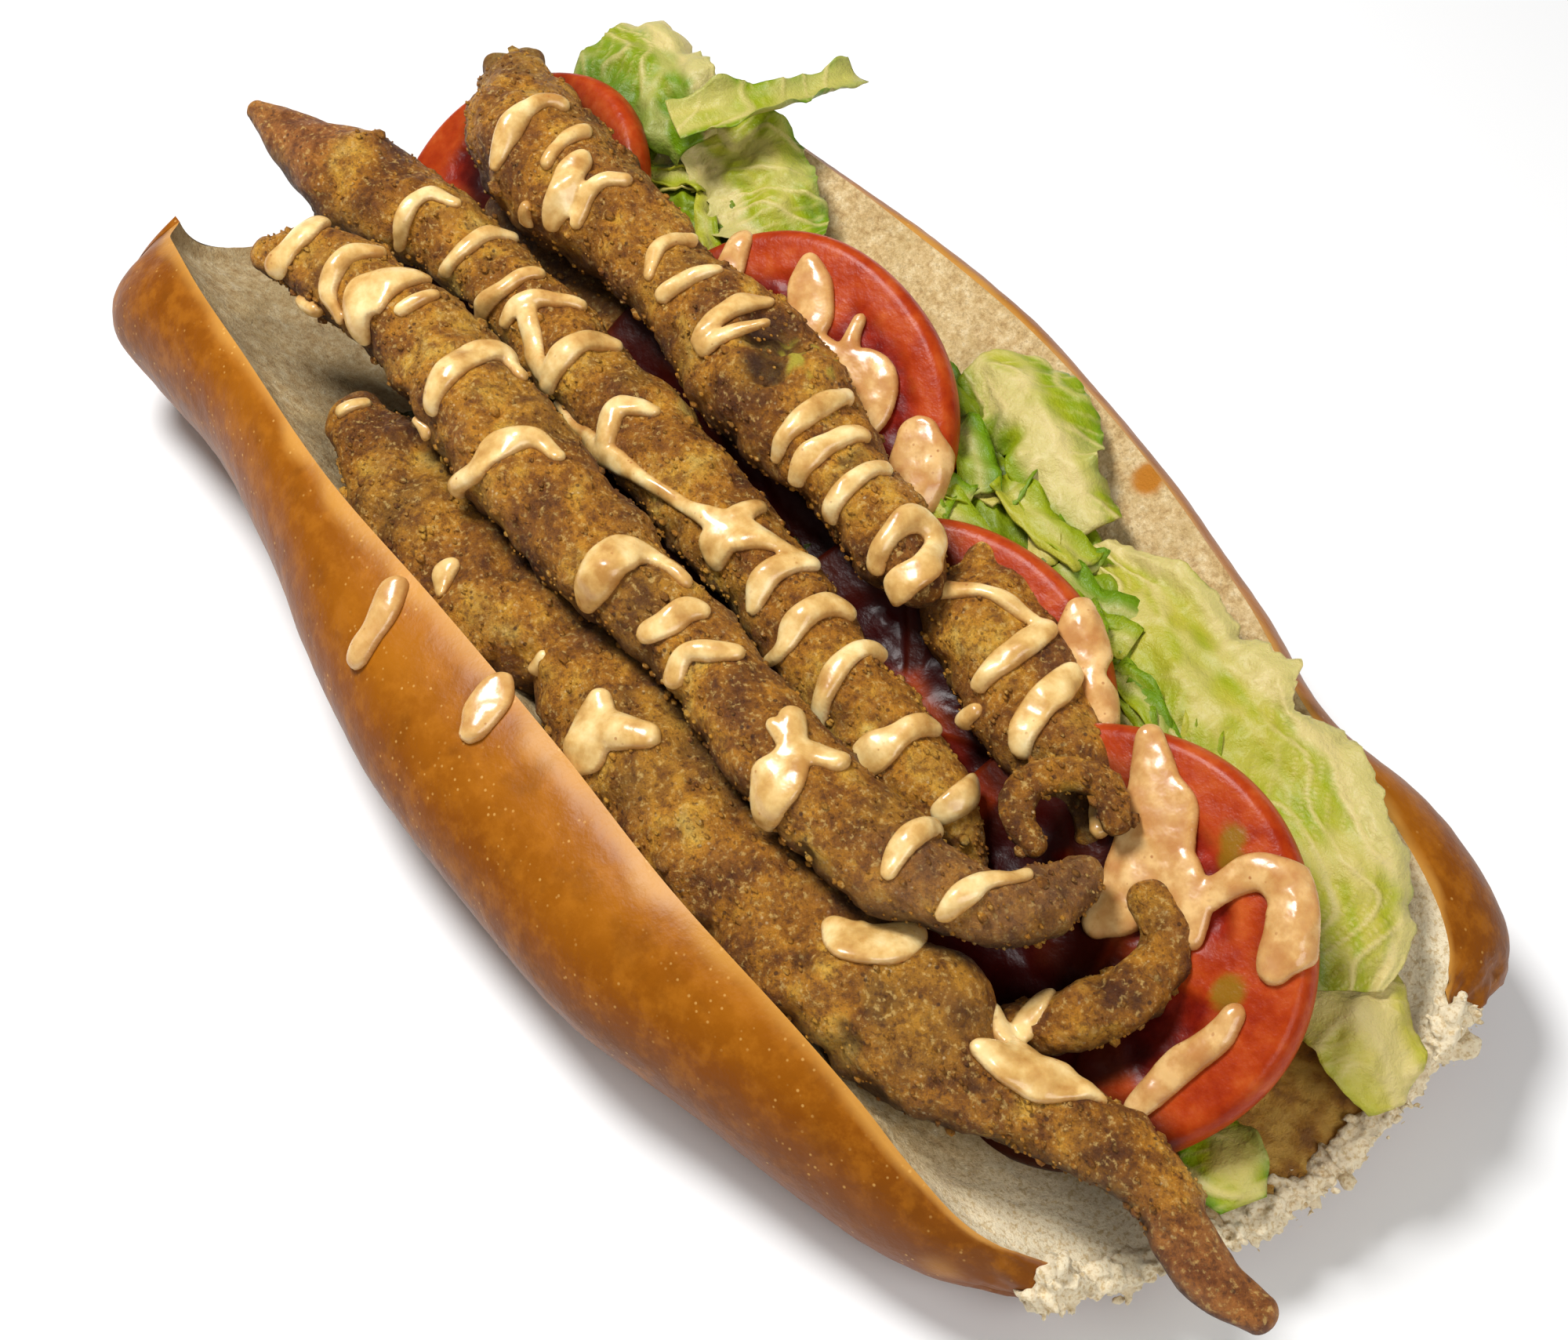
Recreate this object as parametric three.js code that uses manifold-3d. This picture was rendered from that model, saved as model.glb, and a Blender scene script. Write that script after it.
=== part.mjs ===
// Fish hoagie: a split bread roll that holds lettuce, tomato slices and fried fish strips under sauce.
// Lengths are millimetres and angles degrees. X runs along the roll to its torn end, Y across it to the open
// half, Z up. The origin is the middle of the roll's flat underside.
import * as THREE from "three";
import { mergeVertices } from "three/addons/utils/BufferGeometryUtils.js";
import Module from "manifold-3d";

const wasm = await Module();
wasm.setup();

// Driving sizes of the roll
const ROLL_FAR = -151;
const ROLL_NEAR = 148;
const TROUGH_Y = 4;
const TORN_DEPTH = 2;
const TORN_PACE = 2;

// How the roll's section bends: pulls of its curves, as shares of the cut edges' places
const CRUST_SHOULDER = 0.85;
const LEFT_CUT = { inset: 2, high: 0.58, out: 0.6, low: 0.3, trough: 0.4 };
const RIGHT_CUT = { level: 24, out: 0.62, high: 0.55 };

// Driving sizes of the filling
const SLICE_RADIUS = 40;
const SLICE_THICK = 8;
const SLICE_ROUND = 3;
const SLICE_SKIN = 0.45;
const SAUCE_THICK = 1.7;
const SAUCE_LIFT = 0.4;
const SAUCE_END = 0.7;
const SAUCE_TIP = 0.6;
const COATING_SWELL = 0.09;
const STRIP_TIP = 0.8;
const LEAF_THICK = 1.2;
const LEAF_TWIST = 2;
const BED_FAR = -134;
const BED_NEAR = 128;
const BED_GAP = 1;
const BED_THIN = 1.5;
const BED_WAVES = 1.8;
const BED_PACE = { along: 1.3, across: 0.3 };
const BED_FADE = 3;
const BED_LEFT = { least: 0.15, most: 0.6, far: -100, near: 122, over: 40 };
const CLEARANCE = 0.4;
const CHANCE = { tear: 3, bed: 5 };

// How finely each form is divided
const ROLL_STATIONS = 22;
const STATIONS_CROWDED_AT_ENDS = 0.09;
const CRUST_POINTS = 7;
const CUT_POINTS = 5;
const SLICE_SIDES = 24;
const STRIP_STEP = 11;
const STRIP_SIDES = 8;
const THIN_STRIP = 6;
const SAUCE_SIDES = 4;
const LEAST_SAUCE_PIECES = 2;
const DRIP_PIECES = 4;
const KNOB_DETAIL = 1;
const BED_STATIONS = 12;
const BED_CROSSINGS = 9;
const BED_LEFT_POINTS = 3;
const SPINE_PARTS = 20;
const WELD = 1e-4;
const SHARE_STEP = 0.02;

// Looks
const CRUST = { color: 0xb5731f, roughness: 0.5 };
const LETTUCE = { color: 0x9fbf45, roughness: 0.5 };
const TOMATO = { color: 0xb8382a, roughness: 0.3 };
const FISH = { color: 0x96642c, roughness: 0.8 };

const DEGREE = Math.PI / 180;
const UP = new THREE.Vector3(0, 0, 1);

// A smooth value along a length, through [place, value] pairs.
function along(pairs) {
  const last = pairs.length - 1;
  const slope = (i) => {
    const before = pairs[Math.max(i - 1, 0)];
    const after = pairs[Math.min(i + 1, last)];
    return (after[1] - before[1]) / (after[0] - before[0]);
  };
  return (place) => {
    const x = Math.min(Math.max(place, pairs[0][0]), pairs[last][0]);
    let i = 0;
    while (i < last - 1 && x > pairs[i + 1][0]) i += 1;
    const [from, start] = pairs[i];
    const [to, end] = pairs[i + 1];
    const span = to - from;
    const t = (x - from) / span;
    const rise = end - start;
    const bendIn = slope(i) * span - rise;
    const bendOut = rise - slope(i + 1) * span;
    return start + rise * t + t * (1 - t) * ((1 - t) * bendIn + t * bendOut);
  };
}

// The roll's section: how far its two halves bulge, where their cut edges stand, and its underside.
const leftBulge = along([
  [-150, -70], [-140, -74.5], [-127, -73.5], [-96, -71.5], [-70, -74], [-40, -80], [-10, -83],
  [25, -81], [56, -77.5], [80, -69.5], [107, -61], [134, -50], [148, -38],
]);
const leftRimY = along([
  [-148, -57], [-127, -60], [-100, -61], [-60, -62], [-20, -59], [20, -56.5], [60, -55],
  [90, -51], [108, -48], [122, -46], [138, -42], [148, -33],
]);
const leftRimZ = along([
  [-148, 39], [-128, 45], [60, 46], [90, 43], [108, 38], [122, 33], [138, 28], [148, 24],
]);
const rightBulge = along([
  [-150, 60], [-125, 67], [-100, 72], [-60, 80], [-20, 84], [20, 81], [60, 76.5], [86, 72],
  [110, 78], [130, 77], [142, 69.5], [148, 57],
]);
const rightRimY = along([
  [-148, 54], [-125, 63], [-100, 68], [-60, 74], [-20, 78], [20, 76.5], [60, 70.5], [86, 65],
  [110, 64], [130, 61], [142, 56], [148, 50],
]);
const rightRimZ = along([[-148, 36], [-125, 43], [60, 45], [90, 42], [120, 38], [148, 31]]);
const underHalf = along([[-148, 20], [-125, 34], [0, 38], [110, 34], [148, 18]]);
const underRise = along([
  [-148, 10], [-138, 3.4], [-128, 0], [-120, 0], [112, 0], [120, 0], [136, 3], [148, 9],
]);
const troughZ = along([[-148, 17], [-120, 12.5], [110, 12], [148, 18]]);

// How far the torn end reaches at each place across the roll.
const tornReach = along([
  [-60, -10], [-45, -7], [-30, -4], [-8, 2], [20, 3.5], [35, 1], [50, -4], [62, -3], [74, -1],
]);

// How high the heap of lettuce stands across the roll.
const bedTop = along([
  [-46, 30], [-34, 28], [-22, 18], [-4, 17], [8, 29], [20, 37], [34, 43], [46, 45], [58, 44], [70, 40],
]);

// Waves that stand for chance: a fixed sum of sines, so every copy comes out the same. Each wave has its
// share, its pace along the run, its lobes round the turn and its shift for each seed.
const WAVES = [[0.42, 0.21, 2, 1.7], [0.33, 0.37, -3, 2.9], [0.25, 0.61, 5, 4.3]];

function lumps(run, turn, seed) {
  const wave = ([share, pace, lobes, shift]) => share * Math.sin(run * pace + turn * lobes + seed * shift);
  return WAVES.reduce((sum, one) => sum + wave(one), 0);
}

function bezier(a, b, c, d, t) {
  const s = 1 - t;
  const weights = [s * s * s, 3 * s * s * t, 3 * s * t * t, t * t * t];
  return [0, 1].map((k) => weights[0] * a[k] + weights[1] * b[k] + weights[2] * c[k] + weights[3] * d[k]);
}

// Points of one Bezier from its start up to, but without, its end.
function curve(a, b, c, d, count) {
  return Array.from({ length: count }, (_, i) => bezier(a, b, c, d, i / count));
}

// The crust's outside at one station, from the left cut edge round the underside to the right one. The middle
// of a Bezier is (start + 3 * pull + 3 * pull + end) / 8, which gives the pull for a wanted bulge.
function crustCurves(x) {
  const left = [leftRimY(x), leftRimZ(x)];
  const right = [rightRimY(x), rightRimZ(x)];
  const half = underHalf(x);
  const low = Math.max(0, underRise(x));
  const pull = (bulge, rim, foot) => (8 * bulge - rim - foot) / 6;
  const leftPull = pull(leftBulge(x), left[0], -half);
  const rightPull = pull(rightBulge(x), right[0], half);
  return {
    left: [left, [leftPull, CRUST_SHOULDER * left[1]], [leftPull, low], [-half, low]],
    right: [[half, low], [rightPull, low], [rightPull, CRUST_SHOULDER * right[1]], right],
  };
}

// The cut faces at one station, from the left edge down into the trough and up to the right edge.
function cutCurves(x) {
  const left = [leftRimY(x), leftRimZ(x)];
  const right = [rightRimY(x), rightRimZ(x)];
  const trough = [TROUGH_Y, troughZ(x)];
  const leftSteep = [left[0] + LEFT_CUT.inset, LEFT_CUT.high * left[1]];
  const leftLow = [LEFT_CUT.out * left[0], LEFT_CUT.low * left[1] + LEFT_CUT.trough * trough[1]];
  const rightLow = [RIGHT_CUT.level, trough[1]];
  const rightSteep = [RIGHT_CUT.out * right[0], RIGHT_CUT.high * right[1]];
  return {
    left: [left, leftSteep, leftLow, trough],
    right: [trough, rightLow, rightSteep, right],
  };
}

// A closed surface through equal rings of points, with flat or given ends.
function ringSurface(rings, capStart, capEnd) {
  const count = rings[0].length;
  const points = rings.flat();
  const faces = [];
  rings.slice(1).forEach((_, i) => {
    for (let j = 0; j < count; j += 1) {
      const a = i * count + j;
      const b = i * count + ((j + 1) % count);
      faces.push([a, b, b + count], [a, b + count, a + count]);
    }
  });
  const lastRing = (rings.length - 1) * count;
  capStart.forEach(([a, b, c]) => faces.push([c, b, a]));
  capEnd.forEach(([a, b, c]) => faces.push([a + lastRing, b + lastRing, c + lastRing]));
  return indexed(points, faces);
}

function indexed(points, faces) {
  const geometry = new THREE.BufferGeometry();
  geometry.setAttribute("position", new THREE.Float32BufferAttribute(points.flat(), 3));
  geometry.setIndex(faces.flat());
  return geometry;
}

// Triangles that fill an outline given as [y, z] points, counter-clockwise.
function fill(outline) {
  return THREE.ShapeUtils.triangulateShape(outline.map(([y, z]) => new THREE.Vector2(y, z)), []);
}

function solid(geometry) {
  const bare = geometry.clone();
  bare.deleteAttribute("normal");
  bare.deleteAttribute("uv");
  const merged = mergeVertices(bare, WELD);
  return new wasm.Manifold(
    new wasm.Mesh({
      numProp: 3,
      vertProperties: merged.attributes.position.array,
      triVerts: new Uint32Array(merged.index.array),
    }),
  );
}

// The largest body of a solid: crumbs that a cut leaves are dropped.
function largest(made) {
  return made.decompose().reduce((best, body) => (body.volume() > best.volume() ? body : best));
}

function geometryOf(made) {
  const mesh = largest(made).getMesh();
  const geometry = new THREE.BufferGeometry();
  geometry.setAttribute("position", new THREE.BufferAttribute(mesh.vertProperties, 3));
  geometry.setIndex(new THREE.BufferAttribute(mesh.triVerts, 1));
  return geometry;
}

function joined(solids) {
  return solids.reduce((sum, one) => sum.add(one));
}

// The split roll, hinged along its underside, with a rounded far end and a torn near one.
function rollSolid() {
  const stations = Array.from({ length: ROLL_STATIONS }, (_, i) => {
    const t = i / (ROLL_STATIONS - 1);
    const eased = t - STATIONS_CROWDED_AT_ENDS * Math.sin(2 * Math.PI * t);
    return ROLL_FAR + (ROLL_NEAR - ROLL_FAR) * eased;
  });
  const outline = (x) => {
    const crust = crustCurves(x);
    const cut = cutCurves(x);
    const backwards = (c, count) => curve(c[3], c[2], c[1], c[0], count);
    return [
      ...curve(...crust.left, CRUST_POINTS),
      crust.left[3],
      ...curve(...crust.right, CRUST_POINTS - 1),
      ...backwards(cut.right, CUT_POINTS),
      ...backwards(cut.left, CUT_POINTS + 1),
    ];
  };
  const rings = stations.map((x, i) =>
    outline(x).map(([y, z], j) => {
      const tear = i === ROLL_STATIONS - 1 ? TORN_DEPTH * lumps(y * TORN_PACE, j, CHANCE.tear) : 0;
      return [slanted(x, y) + tear, y, z];
    }),
  );
  const flat = (ring) => fill(ring.map(([, y, z]) => [y, z]));
  return solid(ringSurface(rings, flat(rings[0]), flat(rings[rings.length - 1])));
}

// The torn end stands out in the middle and lies back at both cut edges.
function slanted(x, y) {
  const share = Math.max(0, (x - ROLL_NEAR / 2) / (ROLL_NEAR / 2));
  return x + share * share * tornReach(y);
}

// A body swept through stations of { at, side, up, wide, high }, closed by a point at each end.
function sweep(stations, sides, bump = () => 1) {
  const rings = stations.map(({ at, side, up, wide, high }, i) =>
    Array.from({ length: sides }, (_, j) => {
      const turn = (j / sides) * 2 * Math.PI;
      const size = bump(i, turn);
      return at
        .clone()
        .addScaledVector(side, Math.cos(turn) * wide * size)
        .addScaledVector(up, Math.sin(turn) * high * size)
        .toArray();
    }),
  );
  const first = stations[0];
  const last = stations[stations.length - 1];
  const points = [...rings.flat(), first.tip.toArray(), last.tip.toArray()];
  const faces = [];
  const tipFirst = points.length - 2;
  const lastRing = (rings.length - 1) * sides;
  for (let j = 0; j < sides; j += 1) {
    const next = (j + 1) % sides;
    faces.push([tipFirst, next, j], [tipFirst + 1, lastRing + j, lastRing + next]);
    rings.slice(1).forEach((_, i) => {
      const a = i * sides + j;
      const b = i * sides + next;
      faces.push([a, b, b + sides], [a, b + sides, a + sides]);
    });
  }
  const made = solid(indexed(points, faces));
  return made.volume() < 0 ? solid(indexed(points, faces.map(([a, b, c]) => [c, b, a]))) : made;
}

// A smooth line through the given places. It gives the place and the directions at a run along it, and
// reads any other column of its path by the run.
class Spine {
  constructor(path) {
    const places = path.map(([x, y, z]) => new THREE.Vector3(x, y, z));
    this.line = new THREE.CatmullRomCurve3(places, false, "centripetal");
    this.line.arcLengthDivisions = SPINE_PARTS * (path.length - 1);
    const lengths = this.line.getLengths();
    this.length = lengths[lengths.length - 1];
    this.values = (column) => along(path.map((point, i) => [lengths[SPINE_PARTS * i], point[column]]));
  }

  frame(run) {
    const share = Math.min(Math.max(run / this.length, 0), 1);
    const beyond = run - share * this.length;
    const tangent = this.line.getTangentAt(share);
    const side = new THREE.Vector3().crossVectors(UP, tangent).normalize();
    const up = new THREE.Vector3().crossVectors(tangent, side);
    return { at: this.line.getPointAt(share).addScaledVector(tangent, beyond), tangent, side, up };
  }
}

// Fried fish strips. Each path is [x, y, z, half width] along the strip, and flat is its height as a share of
// its width. Sauce runs over a strip in trails of [run along it, angle from its top, width]. Knobs and
// hollows of the fried coating are [run, angle, radius].
const STRIPS = {
  fish_curl: {
    flat: 0.9,
    path: [
      [92, 15, 53, 2.8], [86, 17, 54.5, 3.4], [80, 13, 55, 3.4], [78, 6, 54.5, 3.2], [82, 1, 53.5, 3],
      [88, 0, 53, 2.6],
    ],
  },
  fish_left_top: {
    flat: 0.88,
    path: [
      [-115, -47, 54, 4], [-107, -40, 54, 8], [-93, -35, 54, 9.4], [-73, -31, 54, 10.4],
      [-47, -31, 54, 11.5], [-21, -31, 54, 11.2], [1, -29, 54, 10.2], [19, -27, 54, 8.4],
      [40, -27, 54, 9], [60, -26, 54, 9.6], [76, -23, 54, 9.1], [88, -19, 54, 7.5],
      [96, -12, 54, 6.6], [98, -3, 52, 6.2], [96, 5, 50, 4.1],
    ],
    trails: [
      [[10, 48, 2.5], [8, -10, 5], [4, -74, 4]],
      [[25, 40, 2], [22, 0, 3.6], [23, -50, 3.2], [29, -76, 2]],
      [[36, 44, 3.5], [34, 10, 7], [33, -24, 9.5], [33, -52, 7], [36, -84, 3]],
      [[69, 48, 2.5], [62, 48, 4.5], [61, 14, 6], [63, -30, 5], [66, -64, 2]],
      [[94, 16, 2], [87, 8, 3.8], [84, -30, 5.5], [84, -60, 4.6], [81, -100, 4]],
      [[132, 30, 1.4], [122, 24, 3.6], [119, -15, 8], [120, -48, 7.6], [120, -82, 3.4]],
      [[138, 28, 2.5], [136, 4, 4], [136, -28, 5], [134, -58, 3]],
      [[150, 22, 2.5], [146, -8, 3.5], [144, -32, 3], [146, -66, 3.5]],
      [[167, 20, 4], [172, 0, 5], [175, -24, 7.5], [176, -60, 8], [177, -104, 3]],
      [[173, -10, 4], [176, 14, 5.2], [180, 24, 4.5]],
      [[201, 60, 3], [200, 14, 5.5], [200, -14, 4.4], [201, -42, 2]],
      [[224, 32, 1.6], [216, 12, 3.2], [213, -20, 3.5], [210, -60, 1.8]],
    ],
  },
  fish_right_far: {
    flat: 0.85,
    path: [
      [-138, 24, 53, 5], [-131, 21.5, 54, 8.5], [-122, 18.5, 54.5, 12], [-109, 15, 55, 14.6],
      [-94, 16, 55, 14], [-78, 18, 55, 11.4], [-59, 19, 55, 10.4], [-42, 20, 55, 12.6],
      [-27, 20, 55, 14.3], [-10, 19, 55, 11.4], [7, 18, 55, 8.6], [22, 17, 55, 8.6], [31, 16, 55, 5.6],
    ],
    trails: [
      [[32, 26, 1.6], [29, 8, 2.6], [32, -26, 3], [34, -60, 2.5]],
      [[48, 2, 3], [49, -18, 6.5], [52, -44, 5.5], [52, -72, 3]],
      [[102, 34, 1.6], [100, 4, 3.8], [102, -48, 3]],
      [[129, 48, 2.5], [130, 20, 3.5], [131, -12, 3.5], [133, -72, 2.2]],
      [[140, 40, 1.6], [138, 14, 3.5], [139, -44, 3.6], [139, -76, 2.2]],
      [[148, 44, 2.2], [148, 10, 3.7], [150, -46, 4], [150, -80, 2.6]],
      [
        [166, -70, 3], [163, -20, 4], [162, 26, 4.2], [166, 48, 4.2],
        [171, 6, 4.6], [172, -60, 5], [172, -98, 2],
      ],
    ],
    hollows: [[113, 8, 5]],
    knobs: [[-2, -62, 3.6], [0, 56, 3.2]],
  },
  fish_middle: {
    flat: 0.85,
    path: [
      [-161, -27.5, 50, 2.4], [-150, -24.5, 49, 6.2], [-136, -20, 47, 10.8], [-121, -14.5, 46, 11],
      [-109, -9, 45, 9.2], [-90, -6, 45, 8.5], [-70, -5, 44, 9.3], [-44, -3, 44, 9.5],
      [-21, -3, 44, 10], [-1, -3, 44, 9.8], [19, -3, 43, 9.3], [36, -4, 42, 9.1],
      [52, -4, 41, 8.6], [66, -3, 40, 7.1], [78, -3, 38, 2.8],
    ],
    trails: [
      [[58, 14, 1.6], [51, 0, 2.6], [50, -40, 3], [50, -86, 1.8]],
      [[70, 58, 2], [68, 14, 3.5], [68, -28, 3.5], [67, -74, 2.5]],
      [[84, 28, 1.6], [82, 0, 2.6], [82, -36, 3.2], [80, -98, 2.5]],
      [[96, 46, 1.6], [90, 6, 3.4], [88, -30, 3.5], [88, -62, 2.2]],
      [[90, -22, 3.4], [96, -42, 4], [104, -68, 3.4]],
      [[109, 50, 1.6], [106, 16, 4], [106, -30, 4.6], [106, -78, 3.2]],
      [[130, 10, 2], [126, -6, 3.6], [124, -28, 4.5], [129, -66, 3]],
      [
        [108, -104, 1.6], [118, -98, 2.6], [130, -74, 5.5], [140, -57, 3], [150, -42, 2.4],
        [157, -28, 3.2], [165, -10, 6.5], [170, 12, 3.4], [178, 42, 1.6],
      ],
      [[161, 40, 2], [162, 0, 4.5], [164, -32, 6], [166, -60, 2.6]],
      [[178, 44, 2.2], [176, 14, 3.8], [176, -16, 4.5], [179, -56, 2.2]],
      [[190, 52, 2.2], [187, 24, 4.2], [188, -20, 4.4], [190, -52, 3], [188, -96, 1.6]],
      [[200, 64, 2.4], [199, 20, 4.3], [202, -34, 4], [205, -84, 1.8]],
      [[220, 60, 1.8], [218, 20, 3.8], [218, -20, 5.5], [217, -56, 6]],
      [[232, 62, 2.8], [234, 12, 4.6], [234, -32, 3.5]],
    ],
  },
  fish_right_near: {
    flat: 0.8,
    path: [
      [26, 31, 45, 6.5], [38, 26, 46, 12], [54, 23, 46, 12], [68, 19, 46, 9.8], [79, 19, 45, 7.7],
      [87, 16, 44, 4.9],
    ],
    trails: [
      [[26, 32, 3], [28, 6, 5], [30, -24, 4.5], [32, -58, 3]],
      [[36, 38, 4.5], [39, 14, 6], [42, -20, 4], [45, -58, 2.2]],
      [[60, 46, 3], [62, 16, 5.5], [66, -18, 2.8]],
    ],
    knobs: [[2, 20, 5]],
  },
  fish_hook: {
    flat: 0.9,
    path: [
      [107, -17, 35, 3.8], [113, -9, 38, 5.2], [116, 2, 42, 5.2], [112, 11, 44, 4.6], [104, 14, 45, 3.8],
    ],
    trails: [[[8, 56, 2.6], [5, 6, 4], [3, -36, 4.4]]],
  },
  fish_knob: {
    flat: 0.8,
    path: [
      [-117, 10, 36, 5.5], [-97, 9, 36, 8], [-83, 10, 36, 8], [-68, 12, 36, 7.5], [-51, 13, 36, 5.4],
    ],
  },
  fish_left_near: {
    flat: 0.8,
    path: [
      [4, -41, 38, 12], [25, -41.5, 39, 14], [43, -41, 39, 14], [60, -40, 38, 13.6],
      [76, -38, 38, 13.6], [90, -35, 38, 14], [103, -32, 37, 12.4], [115, -28, 36, 8.6],
      [125, -22, 36, 7.3], [135, -17, 37, 7.2], [145, -15, 37, 5.8], [155, -17, 36, 5.4],
      [164, -17, 34.5, 4.6], [171, -14, 34, 3.6],
    ],
    trails: [
      [[14, -16, 3.6], [17, -32, 8.4], [20, -50, 8], [20, -72, 3.6]],
      [[19, -30, 7], [24, -16, 6], [28, -6, 3.6]],
      [[76, 4, 3], [81, 4, 10.5], [86, 22, 9.5], [86, 60, 2.6]],
      [[106, 62, 3.6], [110, 62, 4.6], [114, 60, 6], [117, 34, 6.5]],
      [[108, 10, 2.4], [116, 18, 8], [124, 24, 6.8], [132, 40, 2]],
    ],
    knobs: [[98, 36, 8]],
  },
  fish_left_far: {
    flat: 0.8,
    path: [
      [-77, -48, 38, 7], [-59, -47, 38, 12], [-40, -48, 38, 13.4], [-23, -47, 38, 13.2],
      [-8, -43, 38, 12], [2, -39, 38, 8],
    ],
    trails: [
      [[50, -18, 1.8], [50, -36, 4], [52, -50, 2.6]],
      [[76, -40, 2], [75, -66, 3]],
    ],
  },
};

// How much the fried coating swells or draws in at a run and an angle round a strip.
function coating(name, run, turn) {
  return 1 + COATING_SWELL * lumps(run, turn, name.length);
}

function stripBody(name, grow = 0) {
  const { flat, path } = STRIPS[name];
  const isThin = path.every((point) => point[3] < THIN_STRIP);
  const spine = new Spine(path);
  const width = spine.values(3);
  const count = Math.round(spine.length / (isThin ? STRIP_STEP / 2 : STRIP_STEP));
  const runs = Array.from({ length: count + 1 }, (_, i) => (i / count) * spine.length);
  const stations = runs.map((run, i) => {
    const { at, tangent, side, up } = spine.frame(run);
    const wide = width(run) + grow;
    const tip = at.clone().addScaledVector(tangent, (i === 0 ? -STRIP_TIP : STRIP_TIP) * wide);
    return { at, side, up, wide, high: wide * flat, tip };
  });
  return sweep(stations, STRIP_SIDES, (i, turn) => coating(name, runs[i], turn));
}

// The place and the outward direction on a strip's coating, by run and by angle from the top.
function stripSkin(name) {
  const { flat, path } = STRIPS[name];
  const spine = new Spine(path);
  const width = spine.values(3);
  return (run, angle) => {
    const { at, side, up } = spine.frame(run);
    const turn = (90 - angle) * DEGREE;
    const wide = width(run) * coating(name, run, turn);
    const across = Math.cos(turn);
    const above = Math.sin(turn);
    const out = side.clone().multiplyScalar(across).addScaledVector(up, above / flat).normalize();
    return { at: at.addScaledVector(side, across * wide).addScaledVector(up, above * wide * flat), out };
  };
}

// A thick line of sauce that lies half sunk in a skin, through [first, second, width] places on it.
function sauceLine(skin, bends, pieces, grow = 0) {
  const read = [0, 1, 2].map((column) => along(bends.map((bend, i) => [i, bend[column]])));
  const spots = Array.from({ length: pieces + 1 }, (_, i) => {
    const t = (i / pieces) * (bends.length - 1);
    const { at, out } = skin(read[0](t), read[1](t));
    return { at: at.addScaledVector(out, SAUCE_LIFT), out, wide: read[2](t) / 2 + grow };
  });
  const stations = spots.map(({ at, out, wide }, i) => {
    const before = spots[Math.max(i - 1, 0)].at;
    const after = spots[Math.min(i + 1, pieces)].at;
    const tangent = new THREE.Vector3().subVectors(after, before).normalize();
    const side = new THREE.Vector3().crossVectors(out, tangent).normalize();
    const ease = i === 0 || i === pieces ? SAUCE_END : 1;
    const tip = at.clone().addScaledVector(tangent, (i === 0 ? -SAUCE_TIP : SAUCE_TIP) * wide);
    return { at, side, up: out, wide: wide * ease, high: (SAUCE_THICK + grow) * ease, tip };
  });
  return sweep(stations, SAUCE_SIDES);
}

function stripSauce(name, grow = 0) {
  const { trails = [] } = STRIPS[name];
  const skin = stripSkin(name);
  const pieces = (bends) => Math.max(bends.length - 1, LEAST_SAUCE_PIECES);
  return trails.map((bends) => sauceLine(skin, bends, pieces(bends), grow));
}

// A faceted lump, sunk to its middle in a strip's coating.
function lump(name, [run, angle, radius], grow = 0) {
  const { at } = stripSkin(name)(run, angle);
  const ball = new THREE.IcosahedronGeometry(radius + grow, KNOB_DETAIL);
  return solid(ball.translate(...at.toArray()));
}

function strip(name, grow = 0) {
  const { knobs = [], hollows = [] } = STRIPS[name];
  const whole = joined([stripBody(name, grow), ...knobs.map((knob) => lump(name, knob, grow))]);
  const hollowed = hollows.reduce((left, hollow) => left.subtract(lump(name, hollow, -grow)), whole);
  return joined([hollowed, ...stripSauce(name, grow)]);
}

// Tomato slices: middle, lean about X after a turn about Z, and radius. Sauce runs over each one's upper face
// through [along, up the face, width].
const SLICES = {
  tomato_near: {
    middle: [102, 5, 35],
    lean: 33,
    turn: 0,
    radius: SLICE_RADIUS,
    trails: [
      [[-20, 32, 4], [-14, 28, 8.5], [-8, 24, 12.5], [-3, 17, 15], [0, 9, 11], [-1, 3, 5.5]],
      [[0, 20, 8], [7, 18, 8], [13, 14, 3.6]],
      [[8, 17, 5.5], [10, 24, 5.5], [13, 31, 6], [20, 32, 9.5], [25, 27, 8.5], [27, 21, 5.5]],
      [[28, 12, 3], [29, 6, 6], [28, -4, 6], [28, -13, 3]],
    ],
  },
  tomato_middle: {
    middle: [44, 6, 33],
    lean: 30,
    turn: 8,
    radius: SLICE_RADIUS,
    trails: [
      [[14, 38, 6], [18, 33, 8], [22, 29, 5.5]],
      [[25, 30, 4], [29, 27, 5], [32, 22, 3]],
    ],
  },
  tomato_far: {
    middle: [-29, 18, 38],
    lean: 33,
    turn: 14,
    radius: 43,
    trails: [
      [[-26, 32, 4], [-24, 26, 5]],
      [[-8, 35, 4.5], [-6, 30, 9], [-2, 23, 5.5]],
      [[8, 32, 1.8], [10, 27, 3.6], [17, 24, 8], [21, 14, 3.6]],
      [[31, 19, 7.5], [36, 14, 12], [39, 9, 7.5]],
    ],
  },
  tomato_end: { middle: [-116, 12, 35], lean: 34, turn: 0, radius: 33, trails: [] },
};

function slicePlace({ middle, lean, turn }) {
  const turned = new THREE.Euler(lean * DEGREE, 0, turn * DEGREE, "ZXY");
  return new THREE.Matrix4().makeRotationFromEuler(turned).setPosition(...middle);
}

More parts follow.
